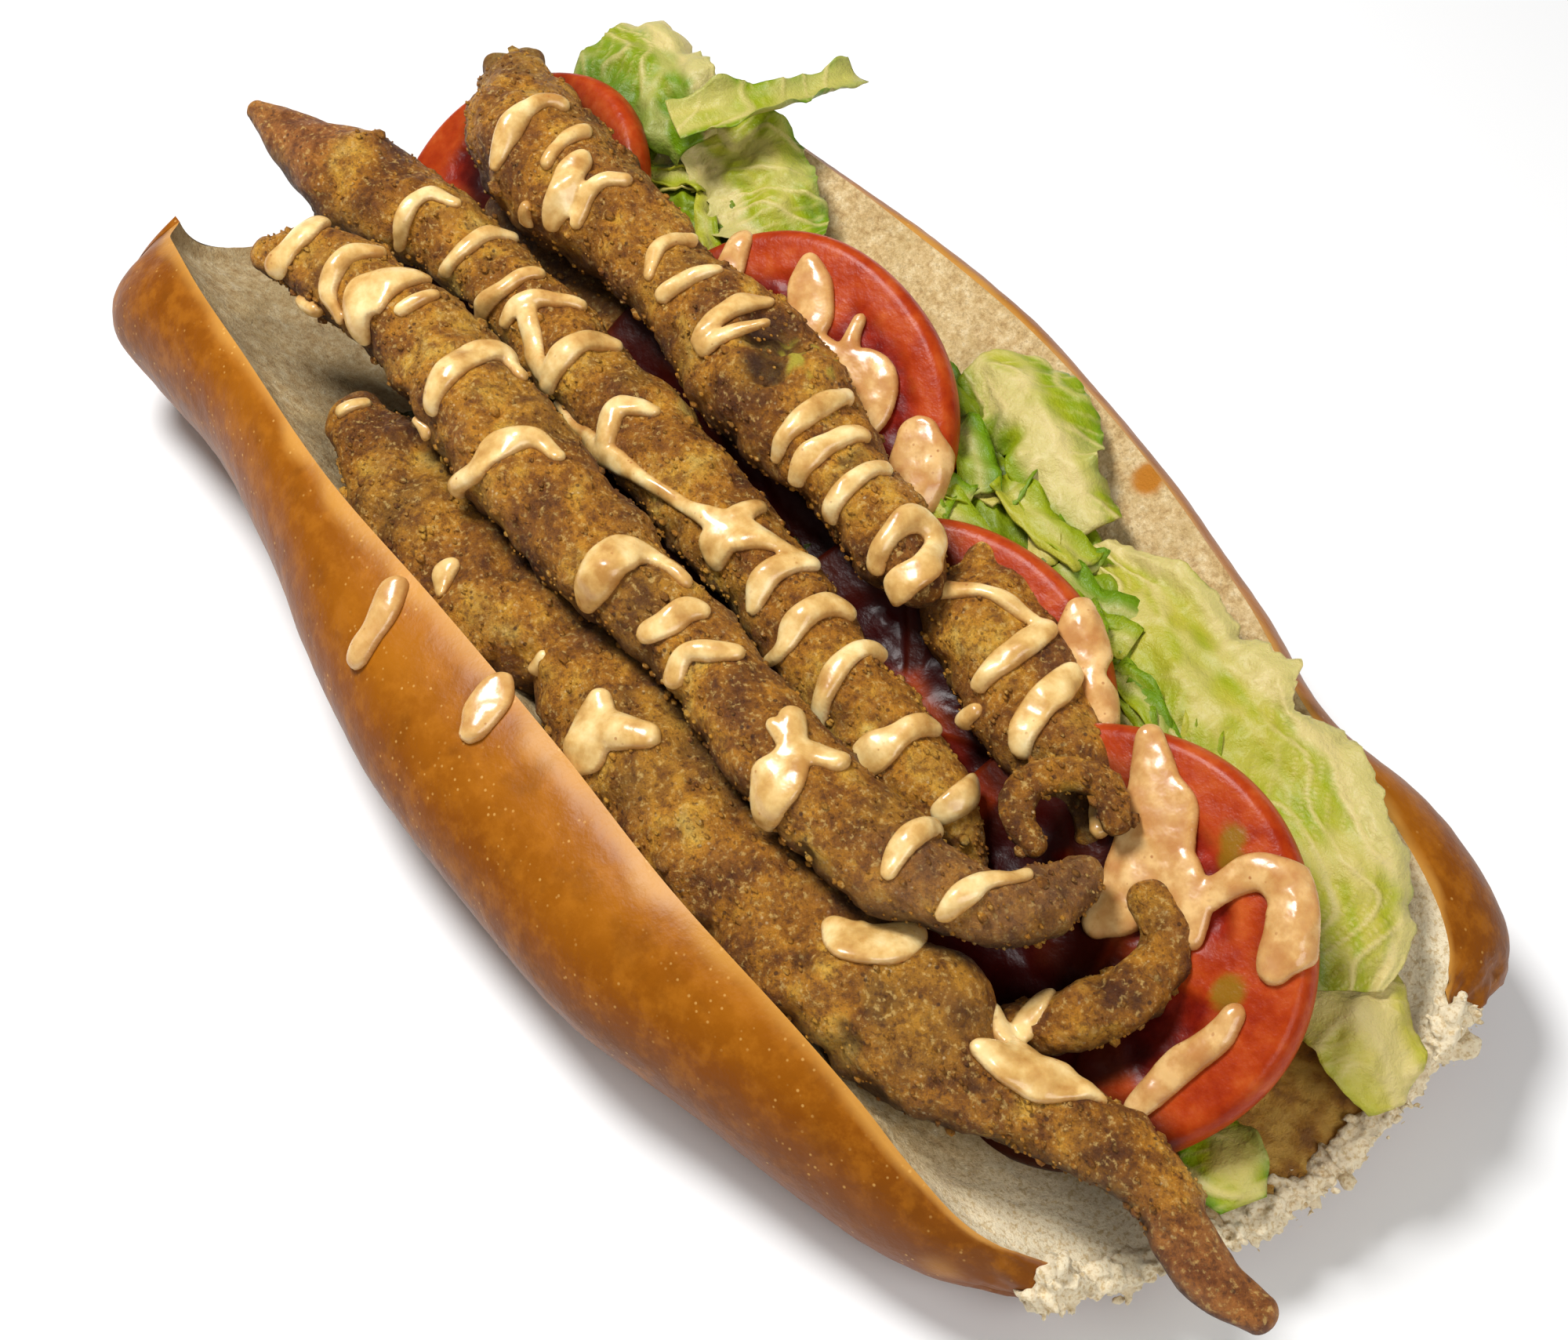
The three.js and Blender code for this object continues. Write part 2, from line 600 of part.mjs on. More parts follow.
// A round slice with a rounded skin and level faces at the origin, with the sauce on its upper face.
function slice({ radius, trails }, grow = 0) {
  const half = SLICE_THICK / 2 + grow;
  const reach = radius + grow;
  const face = reach - SLICE_ROUND;
  const skin = SLICE_SKIN * half;
  const profile = [[0, -half], [face, -half], [reach, -skin], [reach, skin], [face, half], [0, half]];
  const lathe = new THREE.LatheGeometry(profile.map(([x, y]) => new THREE.Vector2(x, y)), SLICE_SIDES);
  const upperFace = (x, y) => ({ at: new THREE.Vector3(x, y, SLICE_THICK / 2), out: UP });
  return joined([
    solid(lathe.rotateX(90 * DEGREE)),
    ...trails.map((bends) => sauceLine(upperFace, bends, bends.length, grow)),
  ]);
}

// Leaves and shreds of lettuce: [x, y, z, half width, slope across] along each one's middle line, how many
// pieces it has across and along, and how its edges ruffle, wave and cup.
const LEAVES = {
  shred_far: {
    across: 2,
    pieces: 8,
    ruffle: 0.8,
    waves: 0.18,
    cup: 2,
    path: [
      [-99, 42, 57, 5.5, 0], [-96, 53, 58, 6.5, 0], [-93, 65, 58, 5, 0], [-92.5, 76, 57, 4.4, 0],
      [-93, 85, 55, 4, 0],
    ],
  },
  leaf_far: {
    across: 5,
    pieces: 10,
    ruffle: 3,
    waves: 0.22,
    cup: -3,
    path: [
      [-138, 46, 51, 12, 12], [-129, 48, 54, 13.5, 18], [-118, 48, 55, 12, 24], [-107, 47, 54, 10, 24],
      [-98, 46, 52, 6, 20],
    ],
  },
  leaf_long: {
    across: 6,
    pieces: 14,
    ruffle: 2.4,
    waves: 0.1,
    cup: -2,
    path: [
      [34, 53, 43, 6, 10], [50, 52, 45, 11, 16], [70, 48, 46, 16, 18], [88, 46, 46, 17, 18],
      [104, 46, 45, 16.5, 16], [118, 43, 43, 16, 12], [128, 39, 40, 12.5, 5], [134, 35, 37, 6, -5],
    ],
  },
  leaf_middle: {
    across: 4,
    pieces: 9,
    ruffle: 2.6,
    waves: 0.19,
    cup: -2,
    path: [
      [-16, 64, 45, 5, 20], [-6, 64, 48, 9, 26], [6, 62, 49, 10, 24], [18, 58, 48, 10, 16],
      [32, 57, 45, 7, 10],
    ],
  },
  leaf_crumpled: {
    across: 4,
    pieces: 9,
    ruffle: 3,
    waves: 0.18,
    cup: 2,
    path: [
      [-112, 54, 47, 6, 10], [-100, 55, 47, 10, 14], [-86, 55, 46, 12, 14], [-74, 52, 45, 11, 12],
      [-62, 50, 43, 6, 10],
    ],
  },
  leaf_torn_end: {
    across: 3,
    pieces: 7,
    ruffle: 1.6,
    waves: 0.22,
    cup: -1,
    path: [
      [122, 42, 35, 7, 6], [131, 38, 34, 10, 4], [139, 35, 33, 10, 0], [147, 33, 30, 8, -6],
      [152, 32, 26, 4, -10],
    ],
  },
  leaf_green_tip: {
    across: 3,
    pieces: 5,
    ruffle: 1.2,
    waves: 0.28,
    cup: 1,
    path: [[134, 6, 22, 5, 6], [140, 4, 23, 7, 10], [146, 2, 23, 7, 12], [151, 1, 21, 4, 8]],
  },
};

// A thin waved sheet with both faces split into triangles alike.
function leaf(name, grow = 0) {
  const { path, across, pieces, ruffle, waves, cup } = LEAVES[name];
  const spine = new Spine(path);
  const halfWidth = spine.values(3);
  const slope = spine.values(4);
  const lift = LEAF_THICK / 2 + grow;
  const top = [];
  const under = [];
  for (let i = 0; i <= pieces; i += 1) {
    const run = (i / pieces) * spine.length;
    const { at, tangent, side: level } = spine.frame(run);
    const side = level.applyAxisAngle(tangent, slope(run) * DEGREE);
    const normal = new THREE.Vector3().crossVectors(tangent, side);
    const reach = halfWidth(run) + grow;
    if (i === 0) at.addScaledVector(tangent, -grow);
    if (i === pieces) at.addScaledVector(tangent, grow);
    for (let j = 0; j <= across; j += 1) {
      const v = (2 * j) / across - 1;
      const wave = ruffle * v * v * Math.sin(LEAF_TWIST * (waves * run + v) + name.length);
      const spot = at.clone().addScaledVector(side, v * reach).addScaledVector(normal, wave + cup * v * v);
      top.push(spot.clone().addScaledVector(normal, lift).toArray());
      under.push(spot.addScaledVector(normal, -lift).toArray());
    }
  }
  const row = across + 1;
  const total = top.length;
  const faces = [];
  const quad = (a, b, c, d) => faces.push([a, b, c], [a, c, d]);
  for (let i = 0; i < pieces; i += 1) {
    const left = i * row;
    const right = left + across;
    for (let a = left; a < right; a += 1) {
      quad(a, a + row, a + row + 1, a + 1);
      const b = a + total;
      faces.push([b, b + row + 1, b + row], [b, b + 1, b + row + 1]);
    }
    quad(left, left + total, left + row + total, left + row);
    quad(right, right + row, right + row + total, right + total);
  }
  for (let j = 0; j < across; j += 1) {
    const end = pieces * row + j;
    quad(j, j + 1, j + 1 + total, j + total);
    quad(end, end + total, end + 1 + total, end + 1);
  }
  return solid(indexed([...top, ...under], faces));
}

// The heap of shredded lettuce under the rest: it fills the trough and lies up the open half.
function bed() {
  const rings = Array.from({ length: BED_STATIONS }, (_, i) => {
    const x = BED_FAR + ((BED_NEAR - BED_FAR) * i) / (BED_STATIONS - 1);
    const cut = cutCurves(x);
    const fade = Math.min(1, (i + 1) / BED_FADE, (BED_STATIONS - i) / BED_FADE);
    const { least, most, far, near, over: ease } = BED_LEFT;
    const leftShare = Math.max(least, Math.min(most, (x - far) / ease, (near - x) / ease));
    const leftStart = Array.from({ length: BED_LEFT_POINTS }, (_, k) =>
      bezier(...cut.left, 1 - leftShare * (1 - k / BED_LEFT_POINTS)),
    );
    const under = [...leftStart, ...curve(...cut.right, CUT_POINTS)].map(([y, z]) => [y, z + BED_GAP]);
    const floor = along(under);
    const from = under[0][0];
    const to = under[under.length - 1][0];
    const over = Array.from({ length: BED_CROSSINGS }, (_, j) => {
      const y = to + ((from - to) * j) / (BED_CROSSINGS - 1);
      const rough = BED_WAVES * lumps(x * BED_PACE.along, y * BED_PACE.across, CHANCE.bed);
      return [y, floor(y) + Math.max(BED_THIN, (bedTop(y) - floor(y)) * fade + rough)];
    });
    return [...under, ...over.slice(1, -1)].map(([y, z]) => [slanted(x, y), y, z]);
  });
  const flat = (ring) => fill(ring.map(([, y, z]) => [y, z]));
  return solid(ringSurface(rings, flat(rings[0]), flat(rings[rings.length - 1])));
}

// The crust's outside on the left half, by X and by the share of the way down from the cut edge.
function crustSkin(x, share) {
  const point = (station, way) => {
    const [y, z] = bezier(...crustCurves(station).left, way);
    return new THREE.Vector3(slanted(station, y), y, z);
  };
  const at = point(x, share);
  const down = point(x, share + SHARE_STEP).sub(at);
  const ahead = point(x + 1, share).sub(at);
  const out = new THREE.Vector3().crossVectors(down, ahead).normalize();
  return { at, out };
}

// Two runs of sauce that went over the left cut edge, through [x, share of the way down, width].
const CRUST_DRIPS = [
  [[-29, 0.04, 3.8], [-25, 0.11, 4.8], [-22, 0.21, 3.4]],
  [[2, 0.01, 3.6], [5, 0.05, 5.6], [8, 0.1, 4]],
];

// Assembly. The pieces settle from the top down: each keeps its form, and what lies under it is pressed in.
function mesh(name, made, look) {
  const material = new THREE.MeshStandardMaterial({ ...look, metalness: 0 });
  const piece = new THREE.Mesh(geometryOf(made), material);
  piece.name = name;
  return piece;
}

const hoagie = new THREE.Group();
const fish = new THREE.Group();
const tomatoes = new THREE.Group();
const lettuce = new THREE.Group();
hoagie.add(fish, tomatoes, lettuce);

const pressing = [];
function settle(group, name, made, grown, look) {
  const clear = pressing.reduce((left, above) => left.subtract(above), made);
  pressing.push(grown);
  group.add(mesh(name, clear, look));
}

Object.keys(STRIPS).forEach((name) => {
  settle(fish, name, strip(name), strip(name, CLEARANCE), FISH);
});
Object.entries(SLICES).forEach(([name, size]) => {
  const place = slicePlace(size).toArray();
  const made = slice(size).transform(place);
  settle(tomatoes, name, made, slice(size, CLEARANCE).transform(place), TOMATO);
});
Object.keys(LEAVES).forEach((name) => {
  settle(lettuce, name, leaf(name), leaf(name, CLEARANCE), LETTUCE);
});
settle(lettuce, "lettuce_bed", bed(), bed(), LETTUCE);
const drips = CRUST_DRIPS.map((bends) => sauceLine(crustSkin, bends, DRIP_PIECES));
settle(hoagie, "roll", joined([rollSolid(), ...drips]), rollSolid(), CRUST);

export default hoagie;
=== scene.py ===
"""Looks of a fish hoagie: a split roll with lettuce, tomato slices and fried fish strips under sauce.

Lengths are millimetres and angles degrees until a mesh is made, which is in metres. X runs along the roll to
its torn end, Y across it to the open half, Z up. The forms repeat the solids' own curves, with finer relief.
"""
import itertools
import math

import bpy
import numpy as np
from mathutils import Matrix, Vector
from mathutils.kdtree import KDTree


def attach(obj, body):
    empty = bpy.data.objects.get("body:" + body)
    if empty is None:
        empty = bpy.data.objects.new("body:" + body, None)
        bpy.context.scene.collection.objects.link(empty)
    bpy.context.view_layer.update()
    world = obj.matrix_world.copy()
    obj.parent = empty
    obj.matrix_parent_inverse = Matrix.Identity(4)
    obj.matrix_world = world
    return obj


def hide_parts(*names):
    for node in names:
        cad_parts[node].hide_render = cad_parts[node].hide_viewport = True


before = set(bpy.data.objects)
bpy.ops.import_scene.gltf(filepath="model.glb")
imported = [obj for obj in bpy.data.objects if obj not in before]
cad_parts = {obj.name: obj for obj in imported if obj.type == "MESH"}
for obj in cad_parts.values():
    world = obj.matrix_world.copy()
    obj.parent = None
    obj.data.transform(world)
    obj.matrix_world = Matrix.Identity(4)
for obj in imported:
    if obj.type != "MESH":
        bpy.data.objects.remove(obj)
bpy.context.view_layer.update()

MM = 0.001

# Driving sizes of the roll, as in the solids
ROLL_FAR = -151
ROLL_NEAR = 148
TROUGH_Y = 4

# How the roll's section bends: pulls of its curves, as shares of the cut edges' places, as in the solids
CRUST_SHOULDER = 0.85
LEFT_CUT = dict(inset=2, high=0.58, out=0.6, low=0.3, trough=0.4)
RIGHT_CUT = dict(level=24, out=0.62, high=0.55)

# Driving sizes of the filling, as in the solids
SLICE_RADIUS = 40
SLICE_THICK = 8
SLICE_ROUND = 3
SAUCE_THICK = 1.7
SAUCE_LIFT = 0.4
COATING_SWELL = 0.09
STRIP_TIP = 0.8
LEAF_THICK = 1.2
BED_FAR = -134
BED_NEAR = 128
BED_GAP = 1
BED_THIN = 1.5
BED_WAVES = 1.8
BED_PACE = dict(along=1.3, across=0.3)
BED_LEFT = dict(least=0.15, most=0.6, far=-100, near=122, over=40)
BED_SEED = 5

BED_END = 24
BED_FADE = 71

# Sauce: how far it runs past its last place, sinks in, spreads, and the half width where it is at its highest
SAUCE_TIP = 0.9
SAUCE_SINK = 0.9
SAUCE_SPREAD = 0.5
SAUCE_FULL = 2.3

# Lettuce: how deep the heap's body lies under its shreds, the shreds themselves, and the gap between veins
BED_SUNK = 1.2
SHREDS = 190
SHRED_THICK = 0.35
VEIN_GAP = 7

# Bread: the middle that the far end draws in to, the length that is torn, and spots of another colour
FAR_MIDDLE = (0, -2, 24)
TORN_ROOM = 9
TUFTS = 5200
TOAST_SPOT = (26.3, 74.3, 44)
SOAKED_SPOT = (140, 20, 20)
TORN_CORNER = (136, -54, 20)
CRUST_DEEP = 70.0  # Millimetres down the crust's left half

# Fish: grains for each square millimetre of a strip's length and half width, a place before any strip begins,
# and the degrees over which a torn side begins and ends, from the strip's own angle
GRAINS = 0.64
NOT_SINGED = -9
TORN_ARC = ((60, 150), (260, 200))

# Patches on a strip: which strip, their place, the reach they fade over, and the noise that breaks them up
PATCHES = {
    "flesh": ("fish_hook", (112, -7, 35), (6, 3), (-0.1, 0.4), 2.5, 60),
    "green": ("fish_right_far", (-22, 25, 65), (9, 5), (0.0, 0.4), 2.2, 61),
}

# Seeds of what is scattered
TUFT_SEED = 17
GRAIN_SEED = 7
SHRED_SEED = 31

# How finely each surface is divided, with (across, between) points on the end caps
STRIP_GRID = 0.6
TIP_RINGS = 8
CRUST_GRID = 1.15
CRUST_POINTS = 56
UNDER_POINTS = 22
CRUMB_GRID = 1.0
CRUMB_POINTS = (58, 92)
CAP_POINTS = 64
FAR_CAP = (150, 26)
NEAR_CAP = (210, 44)
SHADE_STEP = 4
SAUCE_GRID = 0.7
SAUCE_SIDES = 20
COURSE_POINTS = 60
FLOW_GRID = 0.46
LEAF_GRID = 0.6
BED_COLUMNS = 110
SLICE_EYE = 0.4
SLICE_RINGS = 46
RIM_RINGS = 13
UNDER_RINGS = 12
SLICE_SPOKES = 150
SPINE_PARTS = 24

UP = np.array([0.0, 0.0, 1.0])


# Curves and chance

def along(pairs):
    """A smooth value along a length, through (place, value) pairs."""
    places, values = np.array(pairs, float).T
    before = np.maximum(np.arange(len(places)) - 1, 0)
    after = np.minimum(np.arange(len(places)) + 1, len(places) - 1)
    slopes = (values[after] - values[before]) / (places[after] - places[before])

    def read(place):
        x = np.clip(place, places[0], places[-1])
        i = np.clip(np.searchsorted(places, x, side="left") - 1, 0, len(places) - 2)
        span = places[i + 1] - places[i]
        rise = values[i + 1] - values[i]
        t = (x - places[i]) / span
        bend_in = slopes[i] * span - rise
        bend_out = rise - slopes[i + 1] * span
        return values[i] + rise * t + t * (1 - t) * ((1 - t) * bend_in + t * bend_out)

    return read


# Waves that stand for chance, the same as in the solids: share, pace, lobes and shift for each seed
WAVES = ((0.42, 0.21, 2, 1.7), (0.33, 0.37, -3, 2.9), (0.25, 0.61, 5, 4.3))


def lumps(run, turn, seed):
    return sum(
        share * np.sin(run * pace + turn * lobes + seed * shift) for share, pace, lobes, shift in WAVES
    )


def step(low, high, value):
    """0 below low, 1 above high and smooth between them."""
    t = np.clip((value - low) / (high - low), 0, 1)
    return t * t * (3 - 2 * t)


def lattice(cell, seed):
    """A repeatable number from 0 to 1 for each whole-number cell."""
    x, y, z = (cell[..., k].astype(np.uint32) for k in range(3))
    mixed = x * 374761393 + y * 668265263 + z * 2246822519 + np.uint32((seed * 3266489917) & 0xFFFFFFFF)
    mixed = (mixed ^ (mixed >> 13)) * 1274126177
    mixed = mixed ^ (mixed >> 16)
    return (mixed & 0xFFFF) / 0xFFFF


def noise(points, size, seed):
    """Smooth noise from -1 to 1 whose bumps are about the given size across."""
    place = points / size
    low = np.floor(place)
    t = place - low
    t = t * t * (3 - 2 * t)
    low = low.astype(np.int64)
    total = 0
    for corner in itertools.product((0, 1), repeat=3):
        weight = np.prod(np.where(corner, t, 1 - t), axis=-1)
        total = total + weight * lattice(low + np.array(corner), seed)
    return 2 * total - 1


def rough(points, size, seed, octaves=3):
    """Noise with finer noise on it, from about -1 to 1."""
    return sum(noise(points, size / 2**k, seed + k) / 2**k for k in range(octaves)) / (2 - 2 ** (1 - octaves))


def mixed(points, *parts):
    """Noises added up, each given as (share, size, seed)."""
    return sum(share * noise(points, size, seed) for share, size, seed in parts)


def grains(points, size, seed):
    """The distance to the nearest of many scattered centres, in sizes."""
    place = points / size
    home = np.floor(place).astype(np.int64)
    nearest = np.full(points.shape[:-1], np.inf)
    for offset in itertools.product((-1, 0, 1), repeat=3):
        cell = home + np.array(offset)
        centre = cell + np.stack([lattice(cell, seed + k) for k in range(3)], axis=-1)
        nearest = np.minimum(nearest, np.linalg.norm(place - centre, axis=-1))
    return nearest


def unit(vectors):
    return vectors / np.maximum(np.linalg.norm(vectors, axis=-1, keepdims=True), 1e-9)


def xyz(*parts):
    """Points from their three coordinates, each a number or a grid."""
    return np.stack(np.broadcast_arrays(*parts), axis=-1)


def distance(points, spot):
    return np.linalg.norm(points - spot, axis=-1)


def even_turns(count):
    """Angles in radians that divide a whole turn."""
    return np.linspace(0, 2 * math.pi, count, endpoint=False)


# Meshes

def grid_faces(rows, columns, is_ring=False):
    """Triangles over a grid of points, whose columns may close into a ring."""
    i, j = np.meshgrid(np.arange(rows - 1), np.arange(columns if is_ring else columns - 1), indexing="ij")
    a, b = i * columns + j, i * columns + (j + 1) % columns
    c, d = b + columns, a + columns
    return np.concatenate([np.stack([a, b, c], -1).reshape(-1, 3), np.stack([a, c, d], -1).reshape(-1, 3)])


def grid_normals(points):
    """Outward directions over a grid of points."""
    return unit(np.cross(np.gradient(points, axis=1), np.gradient(points, axis=0)))


def tube(rings):
    """Points and triangles of a closed body through rings of points, with a point at each end's middle."""
    rows, columns = rings.shape[:2]
    points = np.concatenate([rings.reshape(-1, 3), rings[0].mean(0)[None], rings[-1].mean(0)[None]])
    j = np.arange(columns)
    after = (j + 1) % columns
    first, last = rows * columns, rows * columns + 1
    start = (rows - 1) * columns
    caps = [
        np.stack([np.full(columns, first), after, j], -1),
        np.stack([np.full(columns, last), start + j, start + after], -1),
    ]
    return points, np.concatenate([grid_faces(rows, columns, is_ring=True), *caps])


class Heap:
    """Meshes gathered into one, with their marks: numbers for each point that its material reads."""

    def __init__(self):
        self.points, self.faces, self.marks, self.count = [], [], [], 0

    def add(self, points, faces, **marks):
        self.points.append(points.reshape(-1, 3))
        self.faces.append(faces + self.count)
        self.marks.append(marks)
        self.count += len(self.points[-1])

    def mark(self, name):
        """One number a point: each mesh gives a single number, one for each of its points, or none for 0."""
        parts = []
        for points, marks in zip(self.points, self.marks):
            values = marks.get(name, 0)
            given = np.full(len(points), float(values)) if np.ndim(values) == 0 else np.ravel(values)
            parts.append(np.pad(given, (0, len(points) - len(given))))
        return np.concatenate(parts)

    def all_marks(self):
        names = dict.fromkeys(name for marks in self.marks for name in marks)
        return {name: self.mark(name) for name in names}

    def piece(self, name, material, slot, *replaced):
        """A smooth mesh that rides on the sandwich, with its marks as attributes."""
        mesh = blender_mesh(name, np.concatenate(self.points), np.concatenate(self.faces))
        for mark, values in self.all_marks().items():
            layer = mesh.attributes.new(mark, "FLOAT", "POINT")
            layer.data.foreach_set("value", values.astype(np.float32))
        mesh.materials.append(material)
        made = bpy.data.objects.new(name, mesh)
        bpy.context.scene.collection.objects.link(made)
        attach(made, "root")
        if replaced:
            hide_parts(*replaced)

    def flow_together(self, softening=6):
        """Joins the bodies that overlap into one skin with soft creases, and keeps the nearest marks."""
        before = np.concatenate(self.points)
        body = blender_mesh("flow", before, np.concatenate(self.faces))
        holder = bpy.data.objects.new("flow", body)
        bpy.context.scene.collection.objects.link(holder)
        joined = holder.modifiers.new("join", "REMESH")
        joined.mode = "VOXEL"
        joined.voxel_size = FLOW_GRID * MM
        softened = holder.modifiers.new("soften", "SMOOTH")
        softened.iterations = softening
        mesh = holder.evaluated_get(bpy.context.evaluated_depsgraph_get()).to_mesh()
        mesh.calc_loop_triangles()
        points = np.zeros(len(mesh.vertices) * 3)
        mesh.vertices.foreach_get("co", points)
        faces = np.zeros(len(mesh.loop_triangles) * 3, dtype=np.int32)
        mesh.loop_triangles.foreach_get("vertices", faces)
        bpy.data.objects.remove(holder)
        bpy.data.meshes.remove(body)
        points = points.reshape(-1, 3) / MM
        finder = KDTree(len(before))
        for number, point in enumerate(before):
            finder.insert(point, number)
        finder.balance()
        nearest = [finder.find(point)[1] for point in points]
        self.marks = [{mark: values[nearest] for mark, values in self.all_marks().items()}]
        self.points, self.faces, self.count = [points], [faces.reshape(-1, 3)], len(points)


def blender_mesh(name, points, faces):
    mesh = bpy.data.meshes.new(name)
    mesh.vertices.add(len(points))
    mesh.vertices.foreach_set("co", (points * MM).astype(np.float32).ravel())
    mesh.loops.add(faces.size)
    mesh.loops.foreach_set("vertex_index", faces.astype(np.int32).ravel())
    mesh.polygons.add(len(faces))
    mesh.polygons.foreach_set("loop_start", np.arange(0, faces.size, 3, dtype=np.int32))
    mesh.update(calc_edges=True)
    mesh.shade_smooth()
    return mesh


# The roll's section: how far its two halves bulge, where their cut edges stand, and its underside
left_bulge = along([
    (-150, -70), (-140, -74.5), (-127, -73.5), (-96, -71.5), (-70, -74), (-40, -80), (-10, -83),
    (25, -81), (56, -77.5), (80, -69.5), (107, -61), (134, -50), (148, -38),
])
left_rim_y = along([
    (-148, -57), (-127, -60), (-100, -61), (-60, -62), (-20, -59), (20, -56.5), (60, -55),
    (90, -51), (108, -48), (122, -46), (138, -42), (148, -33),
])
left_rim_z = along([
    (-148, 39), (-128, 45), (60, 46), (90, 43), (108, 38), (122, 33), (138, 28), (148, 24),
])
right_bulge = along([
    (-150, 60), (-125, 67), (-100, 72), (-60, 80), (-20, 84), (20, 81), (60, 76.5), (86, 72),
    (110, 78), (130, 77), (142, 69.5), (148, 57),
])
right_rim_y = along([
    (-148, 54), (-125, 63), (-100, 68), (-60, 74), (-20, 78), (20, 76.5), (60, 70.5), (86, 65),
    (110, 64), (130, 61), (142, 56), (148, 50),
])
right_rim_z = along([(-148, 36), (-125, 43), (60, 45), (90, 42), (120, 38), (148, 31)])
under_half = along([(-148, 20), (-125, 34), (0, 38), (110, 34), (148, 18)])
under_rise = along([
    (-148, 10), (-138, 3.4), (-128, 0), (-120, 0), (112, 0), (120, 0), (136, 3), (148, 9),
])
trough_z = along([(-148, 17), (-120, 12.5), (110, 12), (148, 18)])
torn_reach = along([
    (-60, -10), (-45, -7), (-30, -4), (-8, 2), (20, 3.5), (35, 1), (50, -4), (62, -3), (74, -1),
])
bed_top = along([
    (-46, 30), (-34, 28), (-22, 18), (-4, 17), (8, 29), (20, 37), (34, 43), (46, 45), (58, 44), (70, 40),
])


def slanted(x, y, z):
    """Points whose torn end stands out in the middle and lies back at both cut edges."""
    share = np.maximum(0, (x - ROLL_NEAR / 2) / (ROLL_NEAR / 2))
    return xyz(x + share * share * torn_reach(y), y, z)


def bezier(corners, t):
    """Places (y, z) on Beziers whose corners are arrays by station, at shares t."""
    s = 1 - t
    weights = (s**3, 3 * s * s * t, 3 * s * t * t, t**3)
    return tuple(sum(w * corner[k] for w, corner in zip(weights, corners)) for k in (0, 1))


def rims(x):
    """The left and the right cut edge at stations x."""
    return (left_rim_y(x), left_rim_z(x)), (right_rim_y(x), right_rim_z(x))


def pulled_to(bulge, rim, foot):
    """Where both middle corners of a Bezier lie across, so that its middle stands at the bulge."""
    return (8 * bulge - rim - foot) / 6


def crust_curves(x):
    """The crust's outside at stations x: down the left half, along the underside and up the right half."""
    left, right = rims(x)
    half = under_half(x)
    low = np.maximum(0, under_rise(x))
    left_pull = pulled_to(left_bulge(x), left[0], -half)
    right_pull = pulled_to(right_bulge(x), right[0], half)
    return (
        (left, (left_pull, CRUST_SHOULDER * left[1]), (left_pull, low), (-half, low)),
        ((-half, low), (-half / 3, low), (half / 3, low), (half, low)),
        ((half, low), (right_pull, low), (right_pull, CRUST_SHOULDER * right[1]), right),
    )


def cut_curves(x):
    """The cut faces at stations x: left edge to trough, and trough to right edge."""
    left, right = rims(x)
    trough = (TROUGH_Y + 0 * x, trough_z(x))
    high_pull = (left[0] + LEFT_CUT["inset"], LEFT_CUT["high"] * left[1])
    low_pull = (LEFT_CUT["out"] * left[0], LEFT_CUT["low"] * left[1] + LEFT_CUT["trough"] * trough[1])
    level_pull = (RIGHT_CUT["level"] + 0 * x, trough[1])
    right_pull = (RIGHT_CUT["out"] * right[0], RIGHT_CUT["high"] * right[1])
    return (left, high_pull, low_pull, trough), (trough, level_pull, right_pull, right)


def section(curves, stations, counts):
    """A grid of points over joined Beziers, by station and by place round the section."""
    x = stations[:, None]
    joined = curves(x)
    parts = [
        bezier(corners, np.linspace(0, 1, count, endpoint=False)[None])
        for corners, count in zip(joined, counts)
    ]
    y, z = (np.concatenate([*(part[k] for part in parts), joined[-1][-1][k]], axis=1) for k in (0, 1))
    return slanted(x, y, z)


# Lines in space

class Spine:
    """A smooth line through the given places, measured along its run."""

    def __init__(self, path):
        path = np.array(path, float)
        ends = (2 * path[0, :3] - path[1, :3], 2 * path[-1, :3] - path[-2, :3])
        places = np.concatenate([ends[0][None], path[:, :3], ends[1][None]])
        t = np.linspace(0, 1, SPINE_PARTS, endpoint=False)[:, None]
        spans = [self.span(*places[i:i + 4], t) for i in range(len(path) - 1)]
        self.spots = np.concatenate([*spans, path[-1:, :3]])
        gaps = np.linalg.norm(np.diff(self.spots, axis=0), axis=1)
        self.runs = np.concatenate([[0], np.cumsum(gaps)])
        self.length = self.runs[-1]
        self.tangents = unit(np.gradient(self.spots, self.runs, axis=0))
        # A smooth value along the run for each column of the path, such as the half width in column 3
        self.values = [along(list(zip(self.runs[::SPINE_PARTS], column))) for column in path.T]

    @staticmethod
    def span(before, start, end, after, t):
        """A centripetal Catmull-Rom stretch from start to end."""
        joints = ((before, start), (start, end), (end, after))
        first, own, last = (max(np.linalg.norm(b - a) ** 0.5, 1e-4) for a, b in joints)
        rise_in = ((start - before) / first - (end - before) / (first + own) + (end - start) / own) * own
        rise_out = ((end - start) / own - (after - start) / (own + last) + (after - end) / last) * own
        square = -3 * start + 3 * end - 2 * rise_in - rise_out
        cube = 2 * start - 2 * end + rise_in + rise_out
        return start + rise_in * t + square * t**2 + cube * t**3

    def frame(self, run):
        """The place on the line, its direction, and the directions level across it and upwards."""
        held = np.clip(run, 0, self.length)
        at, heading = (
            np.stack([np.interp(held, self.runs, part) for part in parts.T], -1)
            for parts in (self.spots, self.tangents)
        )
        tangent = unit(heading)
        side = unit(np.cross(UP, tangent))
        return at + tangent * (run - held)[..., None], tangent, side, np.cross(tangent, side)


